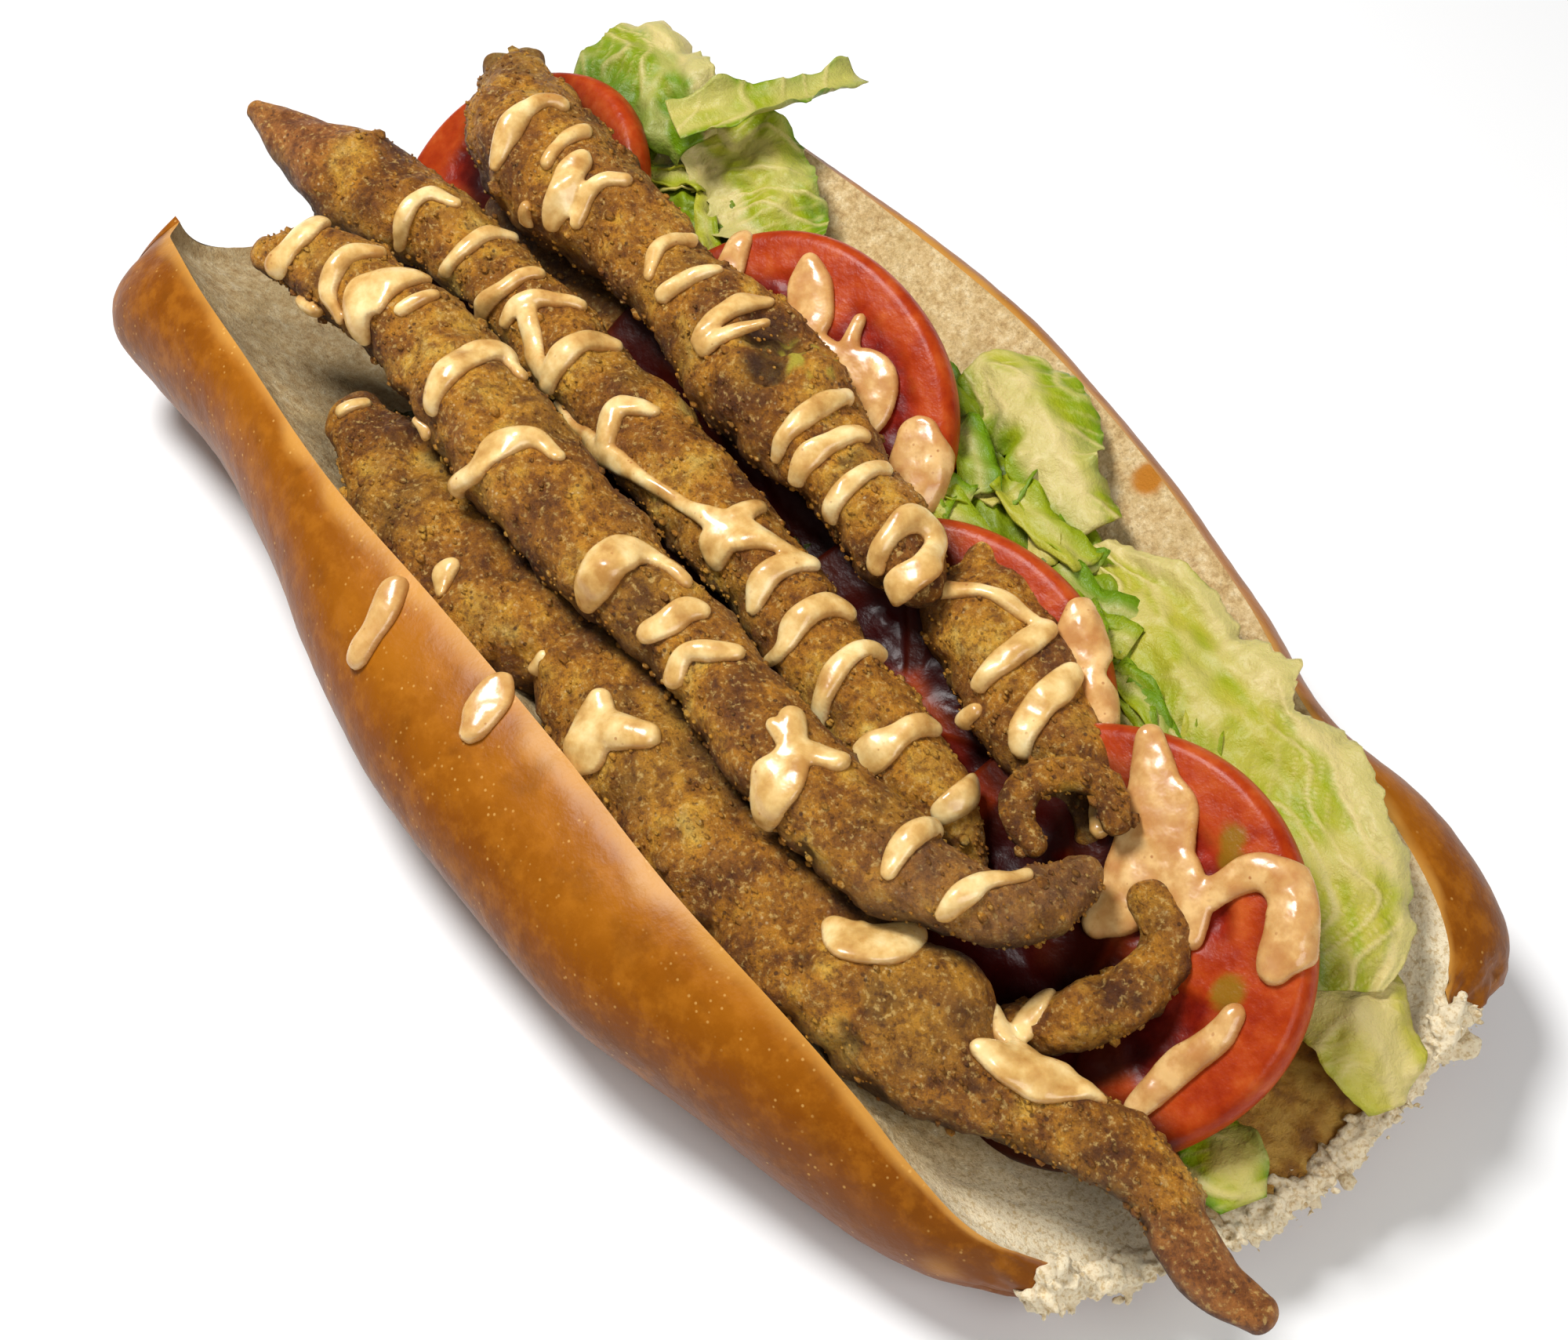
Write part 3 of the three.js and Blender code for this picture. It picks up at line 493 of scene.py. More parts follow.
# Fried fish strips. Each path is (x, y, z, half width) from the far end to the near one. Sauce runs over a
# strip in trails of (run along it, angle from its top, width). Knobs and hollows of the fried coating are
# (run, angle, radius), and its bare and dusty lengths (middle, reach). It is singed up to a run, and its
# torn side begins from an angle. flat is a strip's height over its width, and craggy and crumbly say how
# rough it is.
STRIPS = {
    "fish_curl": dict(
        flat=0.9, crumbly=1.2,
        path=[
            (92, 15, 53, 2.8), (86, 17, 54.5, 3.4), (80, 13, 55, 3.4),
            (78, 6, 54.5, 3.2), (82, 1, 53.5, 3), (88, 0, 53, 2.6),
        ],
    ),
    "fish_left_top": dict(
        flat=0.88, dusty=[(224, 32)],
        path=[
            (-115, -47, 54, 4), (-107, -40, 54, 8), (-93, -35, 54, 9.4), (-73, -31, 54, 10.4),
            (-47, -31, 54, 11.5), (-21, -31, 54, 11.2), (1, -29, 54, 10.2), (19, -27, 54, 8.4),
            (40, -27, 54, 9), (60, -26, 54, 9.6), (76, -23, 54, 9.1), (88, -19, 54, 7.5),
            (96, -12, 54, 6.6), (98, -3, 52, 6.2), (96, 5, 50, 4.1),
        ],
        trails=[
            [(10, 48, 2.5), (8, -10, 5), (4, -74, 4)],
            [(14, -98, 2), (21, -92, 3)],
            [(25, 40, 2), (22, 0, 3.6), (23, -50, 3.2), (29, -76, 2)],
            [(36, 44, 3.5), (34, 10, 7), (33, -24, 9.5), (33, -52, 7), (36, -84, 3)],
            [(43, 26, 1.6), (42, 4, 2.2), (41, -20, 2)],
            [(69, 48, 2.5), (62, 48, 4.5), (61, 14, 6), (63, -30, 5), (66, -64, 2)],
            [(61, -98, 2), (65, -100, 2.5)],
            [(94, 16, 2), (87, 8, 3.8), (84, -30, 5.5), (84, -60, 4.6), (81, -100, 4)],
            [(132, 30, 1.4), (122, 24, 3.6), (119, -15, 8), (120, -48, 7.6), (120, -82, 3.4)],
            [(138, 28, 2.5), (136, 4, 4), (136, -28, 5), (134, -58, 3)],
            [(150, 22, 2.5), (146, -8, 3.5), (144, -32, 3), (146, -66, 3.5)],
            [(167, 20, 4), (172, 0, 5), (175, -24, 7.5), (176, -60, 8), (177, -104, 3)],
            [(173, -10, 4), (176, 14, 5.2), (180, 24, 4.5)],
            [(166, -4, 1.4), (172, -6, 2.4)],
            [(201, 60, 3), (200, 14, 5.5), (200, -14, 4.4), (201, -42, 2)],
            [(224, 32, 1.6), (216, 12, 3.2), (213, -20, 3.5), (210, -60, 1.8)],
        ],
    ),
    "fish_right_far": dict(
        flat=0.85, singed=5,
        path=[
            (-138, 24, 53, 5), (-131, 21.5, 54, 8.5), (-122, 18.5, 54.5, 12), (-109, 15, 55, 14.6),
            (-94, 16, 55, 14), (-78, 18, 55, 11.4), (-59, 19, 55, 10.4), (-42, 20, 55, 12.6),
            (-27, 20, 55, 14.3), (-10, 19, 55, 11.4), (7, 18, 55, 8.6), (22, 17, 55, 8.6), (31, 16, 55, 5.6),
        ],
        trails=[
            [(32, 26, 1.6), (29, 8, 2.6), (32, -26, 3), (34, -60, 2.5)],
            [(42, 24, 1.6), (41, 0, 2.6), (44, -30, 1.6)],
            [(48, 2, 3), (49, -18, 6.5), (52, -44, 5.5), (52, -72, 3)],
            [(46, -64, 1.6), (46, -88, 2.2)],
            [(59, 14, 1.6), (55, -14, 3), (57, -58, 1.8)],
            [(76, 48, 1.6), (75, 10, 2.4), (76, -14, 2.6), (80, -42, 1.6)],
            [(90, 18, 1.4), (87, -14, 3), (86, -50, 2)],
            [(102, 34, 1.6), (100, 4, 3.8), (102, -48, 3)],
            [(109, 8, 1.4), (106, -20, 2.8), (104, -52, 2)],
            [(129, 48, 2.5), (130, 20, 3.5), (131, -12, 3.5), (133, -72, 2.2)],
            [(140, 40, 1.6), (138, 14, 3.5), (139, -44, 3.6), (139, -76, 2.2)],
            [(148, 44, 2.2), (148, 10, 3.7), (150, -46, 4), (150, -80, 2.6)],
            [(166, -70, 3), (163, -20, 4), (162, 26, 4.2), (166, 48, 4.2), (171, 6, 4.6), (172, -60, 5),
             (172, -98, 2)],
        ],
        hollows=[(110, 12, 6), (117, -14, 4)],
        knobs=[(-2, -62, 3.6), (0, 56, 3.2)],
    ),
    "fish_middle": dict(
        flat=0.85, bare=[(0, 34)],
        path=[
            (-161, -27.5, 50, 2.4), (-150, -24.5, 49, 6.2), (-136, -20, 47, 10.8), (-121, -14.5, 46, 11),
            (-109, -9, 45, 9.2), (-90, -6, 45, 8.5), (-70, -5, 44, 9.3), (-44, -3, 44, 9.5),
            (-21, -3, 44, 10), (-1, -3, 44, 9.8), (19, -3, 43, 9.3), (36, -4, 42, 9.1),
            (52, -4, 41, 8.6), (66, -3, 40, 7.1), (78, -3, 38, 2.8),
        ],
        trails=[
            [(58, 14, 1.6), (51, 0, 2.6), (50, -40, 3), (50, -86, 1.8)],
            [(70, 58, 2), (68, 14, 3.5), (68, -28, 3.5), (67, -74, 2.5)],
            [(84, 28, 1.6), (82, 0, 2.6), (82, -36, 3.2), (80, -98, 2.5)],
            [(96, 46, 1.6), (90, 6, 3.4), (88, -30, 3.5), (88, -62, 2.2)],
            [(90, -22, 3.4), (96, -42, 4), (104, -68, 3.4)],
            [(109, 50, 1.6), (106, 16, 4), (106, -30, 4.6), (106, -78, 3.2)],
            [(130, 10, 2), (126, -6, 3.6), (124, -28, 4.5), (129, -66, 3)],
            [(108, -104, 1.6), (118, -98, 2.6), (130, -74, 5.5), (140, -57, 3), (150, -42, 2.4),
             (157, -28, 3.2), (165, -10, 6.5), (170, 12, 3.4), (178, 42, 1.6)],
            [(161, 40, 2), (162, 0, 4.5), (164, -32, 6), (166, -60, 2.6)],
            [(178, 44, 2.2), (176, 14, 3.8), (176, -16, 4.5), (179, -56, 2.2)],
            [(190, 52, 2.2), (187, 24, 4.2), (188, -20, 4.4), (190, -52, 3), (188, -96, 1.6)],
            [(200, 64, 2.4), (199, 20, 4.3), (202, -34, 4), (205, -84, 1.8)],
            [(220, 60, 1.8), (218, 20, 3.8), (218, -20, 5.5), (217, -56, 6)],
            [(232, 62, 2.8), (234, 12, 4.6), (234, -32, 3.5)],
        ],
    ),
    "fish_right_near": dict(
        flat=0.8,
        path=[
            (26, 31, 45, 6.5), (38, 26, 46, 12), (54, 23, 46, 12),
            (68, 19, 46, 9.8), (79, 19, 45, 7.7), (87, 16, 44, 4.9),
        ],
        trails=[
            [(11, -44, 2.5), (14, -14, 2), (19, 6, 2), (24, 24, 1.8)],
            [(26, 32, 3), (28, 6, 5), (30, -24, 4.5), (32, -58, 3)],
            [(36, 38, 4.5), (39, 14, 6), (42, -20, 4), (45, -58, 2.2)],
            [(36, -70, 2), (35, -96, 3)],
            [(60, 46, 3), (62, 16, 5.5), (66, -18, 2.8)],
        ],
        knobs=[(2, 20, 5)],
    ),
    "fish_hook": dict(
        flat=0.9, craggy=2.2, torn=60, crumbly=1.7,
        path=[
            (107, -17, 35, 3.8), (113, -9, 38, 5.2), (116, 2, 42, 5.2),
            (112, 11, 44, 4.6), (104, 14, 45, 3.8),
        ],
        trails=[
            [(8, 56, 2.6), (5, 6, 4), (3, -36, 4.4)],
        ],
    ),
    "fish_knob": dict(
        flat=0.8,
        path=[(-117, 10, 36, 5.5), (-97, 9, 36, 8), (-83, 10, 36, 8), (-68, 12, 36, 7.5), (-51, 13, 36, 5.4)],
    ),
    "fish_left_near": dict(
        flat=0.8, bare=[(172, 24)],
        path=[
            (4, -41, 38, 12), (25, -41.5, 39, 14), (43, -41, 39, 14), (60, -40, 38, 13.6),
            (76, -38, 38, 13.6), (90, -35, 38, 14), (103, -32, 37, 12.4), (115, -28, 36, 8.6),
            (125, -22, 36, 7.3), (135, -17, 37, 7.2), (145, -15, 37, 5.8),
            (155, -17, 36, 5.4), (164, -17, 34.5, 4.6), (171, -14, 34, 3.6),
        ],
        trails=[
            [(14, -16, 3.6), (17, -32, 8.4), (20, -50, 8), (20, -72, 3.6)],
            [(19, -30, 7), (24, -16, 6), (28, -6, 3.6)],
            [(76, 4, 3), (81, 4, 10.5), (86, 22, 9.5), (86, 60, 2.6)],
            [(106, 62, 3.6), (110, 62, 4.6), (114, 60, 6), (117, 34, 6.5)],
            [(108, 10, 2.4), (116, 18, 8), (124, 24, 6.8), (132, 40, 2)],
        ],
        knobs=[(98, 36, 8)],
    ),
    "fish_left_far": dict(
        flat=0.8,
        path=[
            (-77, -48, 38, 7), (-59, -47, 38, 12), (-40, -48, 38, 13.4),
            (-23, -47, 38, 13.2), (-8, -43, 38, 12), (2, -39, 38, 8),
        ],
        trails=[
            [(2, 20, 1.8), (0, -28, 2)],
            [(50, -18, 1.8), (50, -36, 4), (52, -50, 2.6)],
            [(76, -40, 2), (75, -66, 3)],
        ],
    ),
}

SPINES = {name: Spine(row["path"]) for name, row in STRIPS.items()}

# Tomato slices: middle, lean about X, then turn about Z, and radius. Sauce runs over each one's upper face
# through (along, up the face, width). Its seed chambers start at a spin and end at an open share of the
# radius, and wedges of olive gel are (along, up the face, reach)
SLICES = {
    "tomato_near": dict(
        middle=(102, 5, 35), lean=33, turn=0, radius=SLICE_RADIUS, spin=0.84,
        wedges=[(5, 31, 2.6), (8, 28, 3), (24, 13, 3.4)],
        trails=[
            [(-20, 32, 4), (-14, 28, 8.5), (-8, 24, 12.5), (-3, 17, 15), (0, 9, 11), (-1, 3, 5.5)],
            [(0, 20, 8), (7, 18, 8), (13, 14, 3.6)],
            [(8, 17, 5.5), (10, 24, 5.5), (13, 31, 6), (20, 32, 9.5), (25, 27, 8.5), (27, 21, 5.5)],
            [(28, 12, 3), (29, 6, 6), (28, -4, 6), (28, -13, 3)],
        ],
    ),
    "tomato_middle": dict(
        middle=(44, 6, 33), lean=30, turn=8, radius=SLICE_RADIUS, spin=0.5,
        trails=[
            [(12, 37, 5), (15, 34, 9), (19, 30, 8.5), (23, 28, 4)],
            [(22, 29, 3), (27, 26, 5), (30, 24, 5)],
            [(30, 26, 2), (34, 20, 2), (36, 12, 1.6)],
        ],
    ),
    "tomato_far": dict(
        middle=(-29, 18, 38), lean=33, turn=14, radius=43, spin=0.085, open=0.84,
        trails=[
            [(-27, 32, 4), (-25, 25, 6.5)],
            [(-11, 36, 3), (-8, 32, 10), (-4, 27, 11), (-2, 20, 7)],
            [(6, 32, 1.6), (7, 27, 3), (10, 22, 8), (16, 23, 9), (19, 17, 8), (19, 11, 4)],
            [(-3, 22, 6), (4, 20, 10), (11, 19, 12), (17, 15, 8)],
            [(31, 19, 8), (35, 14, 13), (38, 9, 9)],
        ],
    ),
    "tomato_end": dict(middle=(-116, 12, 35), lean=34, turn=0, radius=33, spin=1.5),
}

# Leaves and shreds of lettuce: (x, y, z, half width, slope across) along each one's middle line. The pale
# rib of a leaf lies at a share across it from -1 to 1, and green says how deep its colour is
LEAVES = {
    "shred_far": dict(
        ruffle=0.8, waves=0.18, cup=2, rib=-2.0, green=0.95,
        path=[(-99, 42, 57, 5.5, 0), (-96, 53, 58, 6.5, 0), (-93, 65, 58, 5, 0),
              (-92.5, 76, 57, 4.4, 0), (-93, 85, 55, 4, 0)],
    ),
    "leaf_far": dict(
        ruffle=3, waves=0.22, cup=-3, rib=0.8, green=1.6, crumple=1.8, deep=0.8, vein_lean=15, ragged=1.9,
        path=[(-138, 46, 51, 12, 12), (-129, 48, 54, 13.5, 18), (-118, 48, 55, 12, 24),
              (-107, 47, 54, 10, 24), (-98, 46, 52, 6, 20)],
    ),
    "leaf_long": dict(
        ruffle=2.4, waves=0.1, cup=-2, rib=0.9, green=0.6, deep=0.9, crumple=1.3, vein_lean=4, ragged=1.7,
        path=[
            (34, 53, 43, 6, 10), (50, 52, 45, 11, 16), (70, 48, 46, 16, 18), (88, 46, 46, 17, 18),
            (104, 46, 45, 16.5, 16), (118, 43, 43, 16, 12), (128, 39, 40, 12.5, 5), (134, 35, 37, 6, -5),
        ],
    ),
    "leaf_middle": dict(
        ruffle=2.6, waves=0.19, cup=-2, rib=-0.1, green=0.8, crumple=2.0, deep=0.6, vein_lean=25, ragged=1.7,
        path=[(-16, 64, 45, 5, 20), (-6, 64, 48, 9, 26), (6, 62, 49, 10, 24),
              (18, 58, 48, 10, 16), (32, 57, 45, 7, 10)],
    ),
    "leaf_crumpled": dict(
        ruffle=3, waves=0.18, cup=2, rib=-0.9, green=0.95, crumple=2.6, ragged=1.6,
        path=[(-112, 54, 47, 6, 10), (-100, 55, 47, 10, 14), (-86, 55, 46, 12, 14),
              (-74, 52, 45, 11, 12), (-62, 50, 43, 6, 10)],
    ),
    "leaf_torn_end": dict(
        ruffle=1.6, waves=0.22, cup=-1, rib=0.3, green=0.3, crumple=1.5,
        path=[(122, 42, 35, 7, 6), (131, 38, 34, 10, 4), (139, 35, 33, 10, 0),
              (147, 33, 30, 8, -6), (152, 32, 26, 4, -10)],
    ),
    "leaf_green_tip": dict(
        ruffle=1.2, waves=0.28, cup=1, rib=-2.0, green=1.0,
        path=[(134, 6, 22, 5, 6), (140, 4, 23, 7, 10), (146, 2, 23, 7, 12), (151, 1, 21, 4, 8)],
    ),
}

# Two runs of sauce that went over the left cut edge, through (x, share of the way down, width)
CRUST_DRIPS = [
    [(-29, 0.04, 3.8), (-25, 0.11, 4.8), (-22, 0.21, 3.4)],
    [(2, 0.01, 3.6), (5, 0.05, 5.6), (8, 0.1, 4)],
]


# Materials

def rgb(red, green, blue):
    """A colour as it looks on a screen, 0 to 255, as light."""
    parts = [value / 255 for value in (red, green, blue)]
    return tuple(c / 12.92 if c <= 0.04045 else ((c + 0.055) / 1.055) ** 2.4 for c in parts) + (1.0,)


class Finish:
    """A procedural material: its shader, its colour so far, and short ways to add textures to it."""

    def __init__(self, name, **sockets):
        self.material = bpy.data.materials.new(name)
        self.material.use_nodes = True
        self.tree = self.material.node_tree
        self.shader = self.tree.nodes["Principled BSDF"]
        self.coordinates = self.node("TexCoord").outputs["Object"]
        for socket, value in sockets.items():
            self.shader.inputs[socket.replace("_", " ")].default_value = value

    def feed(self, node, inputs):
        """Links a node's inputs to sockets, or sets them to values."""
        for socket, value in inputs.items():
            if isinstance(value, bpy.types.NodeSocket):
                self.tree.links.new(value, node.inputs[socket])
            else:
                node.inputs[socket].default_value = value

    def node(self, kind, **inputs):
        made = self.tree.nodes.new(f"ShaderNode{kind}")
        self.feed(made, {socket.replace("_", " "): value for socket, value in inputs.items()})
        return made

    def noise(self, size, detail=3.0, roughness=0.55):
        """Noise whose features are about size millimetres across."""
        scale = 1 / (size * MM)
        made = self.node("TexNoise", Vector=self.coordinates, Scale=scale, Detail=detail, Roughness=roughness)
        return made.outputs["Fac"]

    def cells(self, size):
        """The distance to the nearest of scattered centres about size millimetres apart."""
        return self.node("TexVoronoi", Vector=self.coordinates, Scale=1 / (size * MM)).outputs["Distance"]

    def mark(self, name):
        made = self.node("Attribute")
        made.attribute_name = name
        return made.outputs["Fac"]

    def spread(self, source, low, high):
        """The source from 0 at low to 1 at high, smooth between them."""
        made = self.node("MapRange", Value=source, From_Min=low, From_Max=high)
        made.interpolation_type = "SMOOTHSTEP"
        return made.outputs["Result"]

    def combined(self, a, b, operation):
        made = self.node("Math")
        made.operation = operation
        self.feed(made, {0: a, 1: b})
        return made.outputs[0]

    def times(self, a, b):
        return self.combined(a, b, "MULTIPLY")

    def plus(self, a, b):
        return self.combined(a, b, "ADD")

    def specks(self, size, low, high, patch):
        """Scattered dots, in patches of a noise spread between two limits."""
        return self.times(self.spread(self.cells(size), low, high), self.spread(*patch))

    def ramp(self, source, *stops):
        """Colours along the source, given as (place, colour)."""
        made = self.node("ValToRGB", Fac=source)
        elements = made.color_ramp.elements
        while len(elements) < len(stops):
            elements.new(1.0)
        for element, (place, colour) in zip(elements, stops):
            element.position = place
            element.color = colour
        return made.outputs["Color"]

    def start(self, source, *stops):
        """Colours along the source as the first coat, which paint then changes."""
        self.colour = self.ramp(source, *stops)

    def paint(self, colour, share, strength=None, way="MIX"):
        """Turns the colour so far to another by a share from 0 to 1, which may be weakened."""
        made = self.node("Mix")
        made.data_type = "RGBA"
        made.blend_type = way
        if strength is not None:
            share = self.times(share, strength)
        self.feed(made, {0: share, 6: self.colour, 7: colour})
        self.colour = made.outputs[2]

    def paint_marks(self, *coats):
        """Paints each mark's colour at a strength, given as (mark, strength, colour)."""
        for mark, strength, colour in coats:
            self.paint(colour, self.mark(mark), strength)

    def gloss(self, source, low, high):
        """Roughness from low to high where the source goes from 0 to 1."""
        made = self.node("MapRange", Value=source, To_Min=low, To_Max=high)
        self.feed(self.shader, {"Roughness": made.outputs["Result"]})

    def finished(self, *layers):
        """The material with its colour, and with relief from (source, height in millimetres) layers."""
        self.feed(self.shader, {"Base Color": self.colour})
        below = {}
        for source, height in layers:
            made = self.node("Bump", Height=source, Distance=height * MM, Strength=1.0, **below)
            below = {"Normal": made.outputs["Normal"]}
        self.feed(self.shader, below)
        return self.material


def crust_finish():
    """Glossy golden-brown crust: paler at the cut edge, darker and redder lower down, darkened towards the
    far end as painted shade, with tiny light specks.
    """
    finish = Finish("crust", IOR=1.45, Specular_IOR_Level=0.15, Coat_Weight=0.05, Coat_Roughness=0.22)
    fine = finish.noise(5, 5, 0.65)
    # The down mark darkens the crust lower down, and as painted shade towards the far end.
    finish.start(
        finish.plus(finish.times(finish.mark("down"), 0.8), finish.times(finish.noise(38, 4), 0.4)),
        (0.14, rgb(176, 106, 18)), (0.24, rgb(152, 86, 8)), (0.36, rgb(132, 70, 4)), (0.7, rgb(118, 66, 18)),
        (1.0, rgb(126, 78, 44)),
    )
    finish.paint(rgb(188, 116, 26), finish.spread(fine, 0.42, 0.68), 0.4)
    finish.paint(rgb(110, 58, 6), finish.spread(finish.noise(9, 4), 0.52, 0.7), 0.35)
    finish.paint_marks(
        ("pink", 0.8, rgb(128, 72, 30)), ("rim", None, rgb(212, 152, 68)), ("toast", None, rgb(214, 150, 66)),
    )
    finish.paint(rgb(236, 186, 104), finish.specks(1.9, 0.2, 0.08, (finish.noise(11, 2), 0.42, 0.62)), 0.45)
    finish.gloss(fine, 0.3, 0.48)
    return finish.finished((finish.noise(4, 4), 0.22), (finish.noise(0.9, 2), 0.07))


def crumb_finish():
    """Soft porous crumb: grey-beige, browner towards the crust and olive where juice has soaked in, whiter at
    the torn end partly as painted light, with painted shade in its pits, under the strips and down the far
    left wall.
    """
    finish = Finish(
        "crumb", Roughness=0.9,
        Subsurface_Weight=0.1, Subsurface_Radius=(1.0, 0.8, 0.6), Subsurface_Scale=0.5 * MM,
    )
    fine = finish.noise(0.9, 3, 0.6)
    finish.start(
        finish.noise(2.6, 7, 0.75), (0.3, rgb(168, 128, 76)), (0.43, rgb(206, 172, 116)),
        (0.56, rgb(228, 200, 148)), (0.72, rgb(248, 230, 190)),
    )
    finish.paint(rgb(164, 128, 80), finish.spread(fine, 0.5, 0.34), 0.45)
    finish.paint(rgb(196, 166, 106), finish.spread(finish.noise(11, 4), 0.5, 0.7), 0.3)
    wet = finish.ramp(
        finish.noise(6, 4), (0.38, rgb(146, 88, 4)), (0.5, rgb(186, 126, 20)), (0.62, rgb(220, 168, 66)),
    )
    # white: the torn end's whiter crumb, partly its own colour and partly painted light.
    white = finish.ramp(fine, (0.36, rgb(222, 196, 148)), (0.52, rgb(254, 240, 208)))
    # pore paints shade into the sunk pits.
    finish.paint_marks(
        ("pore", None, rgb(170, 128, 74)), ("soak", None, wet), ("white", None, white),
        ("toast", None, rgb(192, 120, 22)), ("shade", 0.8, rgb(34, 22, 10)),
    )
    return finish.finished((finish.noise(2.0, 6, 0.8), 0.5), (finish.noise(0.5, 3), 0.1))


def fish_finish():
    """Fried coating: golden crumbs with darker red-brown and yellow patches, pits and hollows painted dark as
    shade, bright painted glints, and painted shade on its sides and in the gaps.
    """
    finish = Finish("fish", IOR=1.45, Specular_IOR_Level=0.5)
    finish.start(
        finish.noise(13, 6, 0.62), (0.35, rgb(126, 72, 16)), (0.45, rgb(178, 112, 22)),
        (0.54, rgb(216, 144, 34)), (0.62, rgb(242, 180, 60)), (0.72, rgb(254, 216, 110)),
    )
    finish.paint_marks(("pale", 0.35, rgb(210, 156, 50)), ("bare", 0.75, rgb(190, 116, 52)))
    darker = finish.ramp(finish.noise(4, 5, 0.68), (0.38, rgb(138, 98, 62)), (0.56, rgb(255, 255, 255)))
    finish.paint(darker, 0.7, way="MULTIPLY")
    grain = finish.noise(1.2, 3, 0.6)
    finish.paint(rgb(96, 52, 20), finish.spread(grain, 0.46, 0.32), 0.6)
    finish.paint(rgb(252, 210, 124), finish.spread(grain, 0.54, 0.7), 0.6)
    finish.paint(rgb(124, 68, 40), finish.spread(finish.noise(8, 4), 0.54, 0.66), 0.3)
    finish.paint(rgb(64, 28, 12), finish.specks(2.0, 0.26, 0.16, (finish.noise(6, 2), 0.45, 0.65)), 0.75)
    # Painted glints: bright specks painted into the colour, standing in for highlights.
    finish.paint(rgb(255, 226, 170), finish.specks(1.5, 0.26, 0.1, (finish.noise(4, 3), 0.52, 0.68)), 0.6)
    # pit paints shade into the sunk pits and hollows, and shade paints the shade on the strips' sides and in
    # the gaps between them.
    finish.paint_marks(
        ("pit", 0.6, rgb(64, 32, 8)), ("dusty", 0.35, rgb(150, 110, 72)),
        ("singed", None, rgb(74, 38, 18)), ("shade", 0.85, rgb(24, 11, 3)),
        ("green", None, rgb(206, 186, 60)), ("flesh", None, rgb(226, 212, 200)),
    )
    finish.gloss(finish.noise(1.4, 3), 0.15, 0.85)
    crumbs = finish.times(finish.cells(1.2), -1.0)
    return finish.finished((crumbs, 0.4), (finish.noise(1.1, 6, 0.8), 1.1), (finish.noise(0.45, 2), 0.25))


def sauce_finish():
    """Thick glossy cream sauce with fine brown specks."""
    finish = Finish(
        "sauce", IOR=1.45, Coat_Weight=0.3, Coat_Roughness=0.12,
        Subsurface_Weight=0.2, Subsurface_Radius=(1.0, 0.7, 0.4), Subsurface_Scale=1.5 * MM,
    )
    finish.start(
        finish.noise(6, 4), (0.3, rgb(188, 136, 68)), (0.45, rgb(216, 172, 100)),
        (0.56, rgb(234, 198, 130)), (0.7, rgb(250, 224, 164)),
    )
    rosy = finish.ramp(
        finish.noise(5, 4), (0.36, rgb(190, 126, 68)), (0.5, rgb(206, 152, 88)), (0.64, rgb(232, 188, 124)),
    )
    finish.paint_marks(("pink", None, rosy), ("thin", None, rgb(176, 116, 56)))
    finish.paint(rgb(166, 92, 40), finish.specks(1.9, 0.2, 0.1, (finish.noise(5, 1), 0.5, 0.7)), 0.7)
    finish.gloss(finish.noise(4, 2), 0.16, 0.4)
    return finish.finished((finish.noise(2.4, 2), 0.12))


def tomato_finish():
    """Wet tomato: red skin, orange-red flesh, and dark chambers with olive gel."""
    finish = Finish(
        "tomato", IOR=1.4, Specular_IOR_Level=0.17, Coat_Weight=0.05, Coat_Roughness=0.15,
        Subsurface_Weight=0.15, Subsurface_Radius=(1.0, 0.3, 0.1), Subsurface_Scale=2.5 * MM,
    )
    finish.start(
        finish.noise(6, 4, 0.6), (0.3, rgb(150, 40, 6)), (0.5, rgb(172, 60, 14)), (0.75, rgb(194, 90, 36)),
    )
    gel = finish.ramp(finish.noise(4, 3), (0.35, rgb(108, 14, 4)), (0.7, rgb(156, 40, 16)))
    finish.paint_marks(
        ("chamber", None, gel), ("olive", None, rgb(138, 104, 20)), ("shade", 0.94, rgb(34, 3, 3)),
    )
    finish.gloss(finish.noise(5, 3), 0.2, 0.5)
    return finish.finished((finish.noise(1.8, 3), 0.2))


def lettuce_finish():
    """Thin crisp lettuce: cream ribs, yellow-green leaf and deeper green margins, lit through."""
    finish = Finish(
        "lettuce", IOR=1.4, Specular_IOR_Level=0.4, Coat_Weight=0.06, Coat_Roughness=0.25,
        Subsurface_Weight=0.15, Subsurface_Radius=(0.7, 1.0, 0.3), Subsurface_Scale=1.0 * MM,
    )
    patch = finish.noise(14, 3)
    finish.start(
        finish.plus(finish.times(finish.mark("green"), 0.8), finish.times(patch, 0.2)),
        (0.1, rgb(196, 180, 98)), (0.3, rgb(178, 170, 56)),
        (0.52, rgb(152, 160, 18)), (0.85, rgb(102, 136, 4)),
    )
    finish.paint_marks(
        ("rib", None, rgb(208, 190, 124)), ("deep", None, rgb(84, 112, 14)), ("shade", 0.85, rgb(26, 24, 4)),
    )
    finish.gloss(patch, 0.3, 0.5)
    return finish.finished((finish.noise(3, 5, 0.65), 0.7), (finish.noise(0.8, 3), 0.12))


# The roll

def crust_skin(x, share):
    """Points on the left half of the crust, by X and by the share of the way down from the cut edge."""
    return slanted(x, *bezier(crust_curves(x)[0], share))


def torn(points):
    """How far each point near the torn end is pulled out or in."""
    near = step(ROLL_NEAR - TORN_ROOM, ROLL_NEAR, points[..., 0] - torn_reach(points[..., 1]))
    across = points * (0, 1, 1)
    return near * mixed(across, (1.6, 5, 3), (1.1, 1.8, 4))


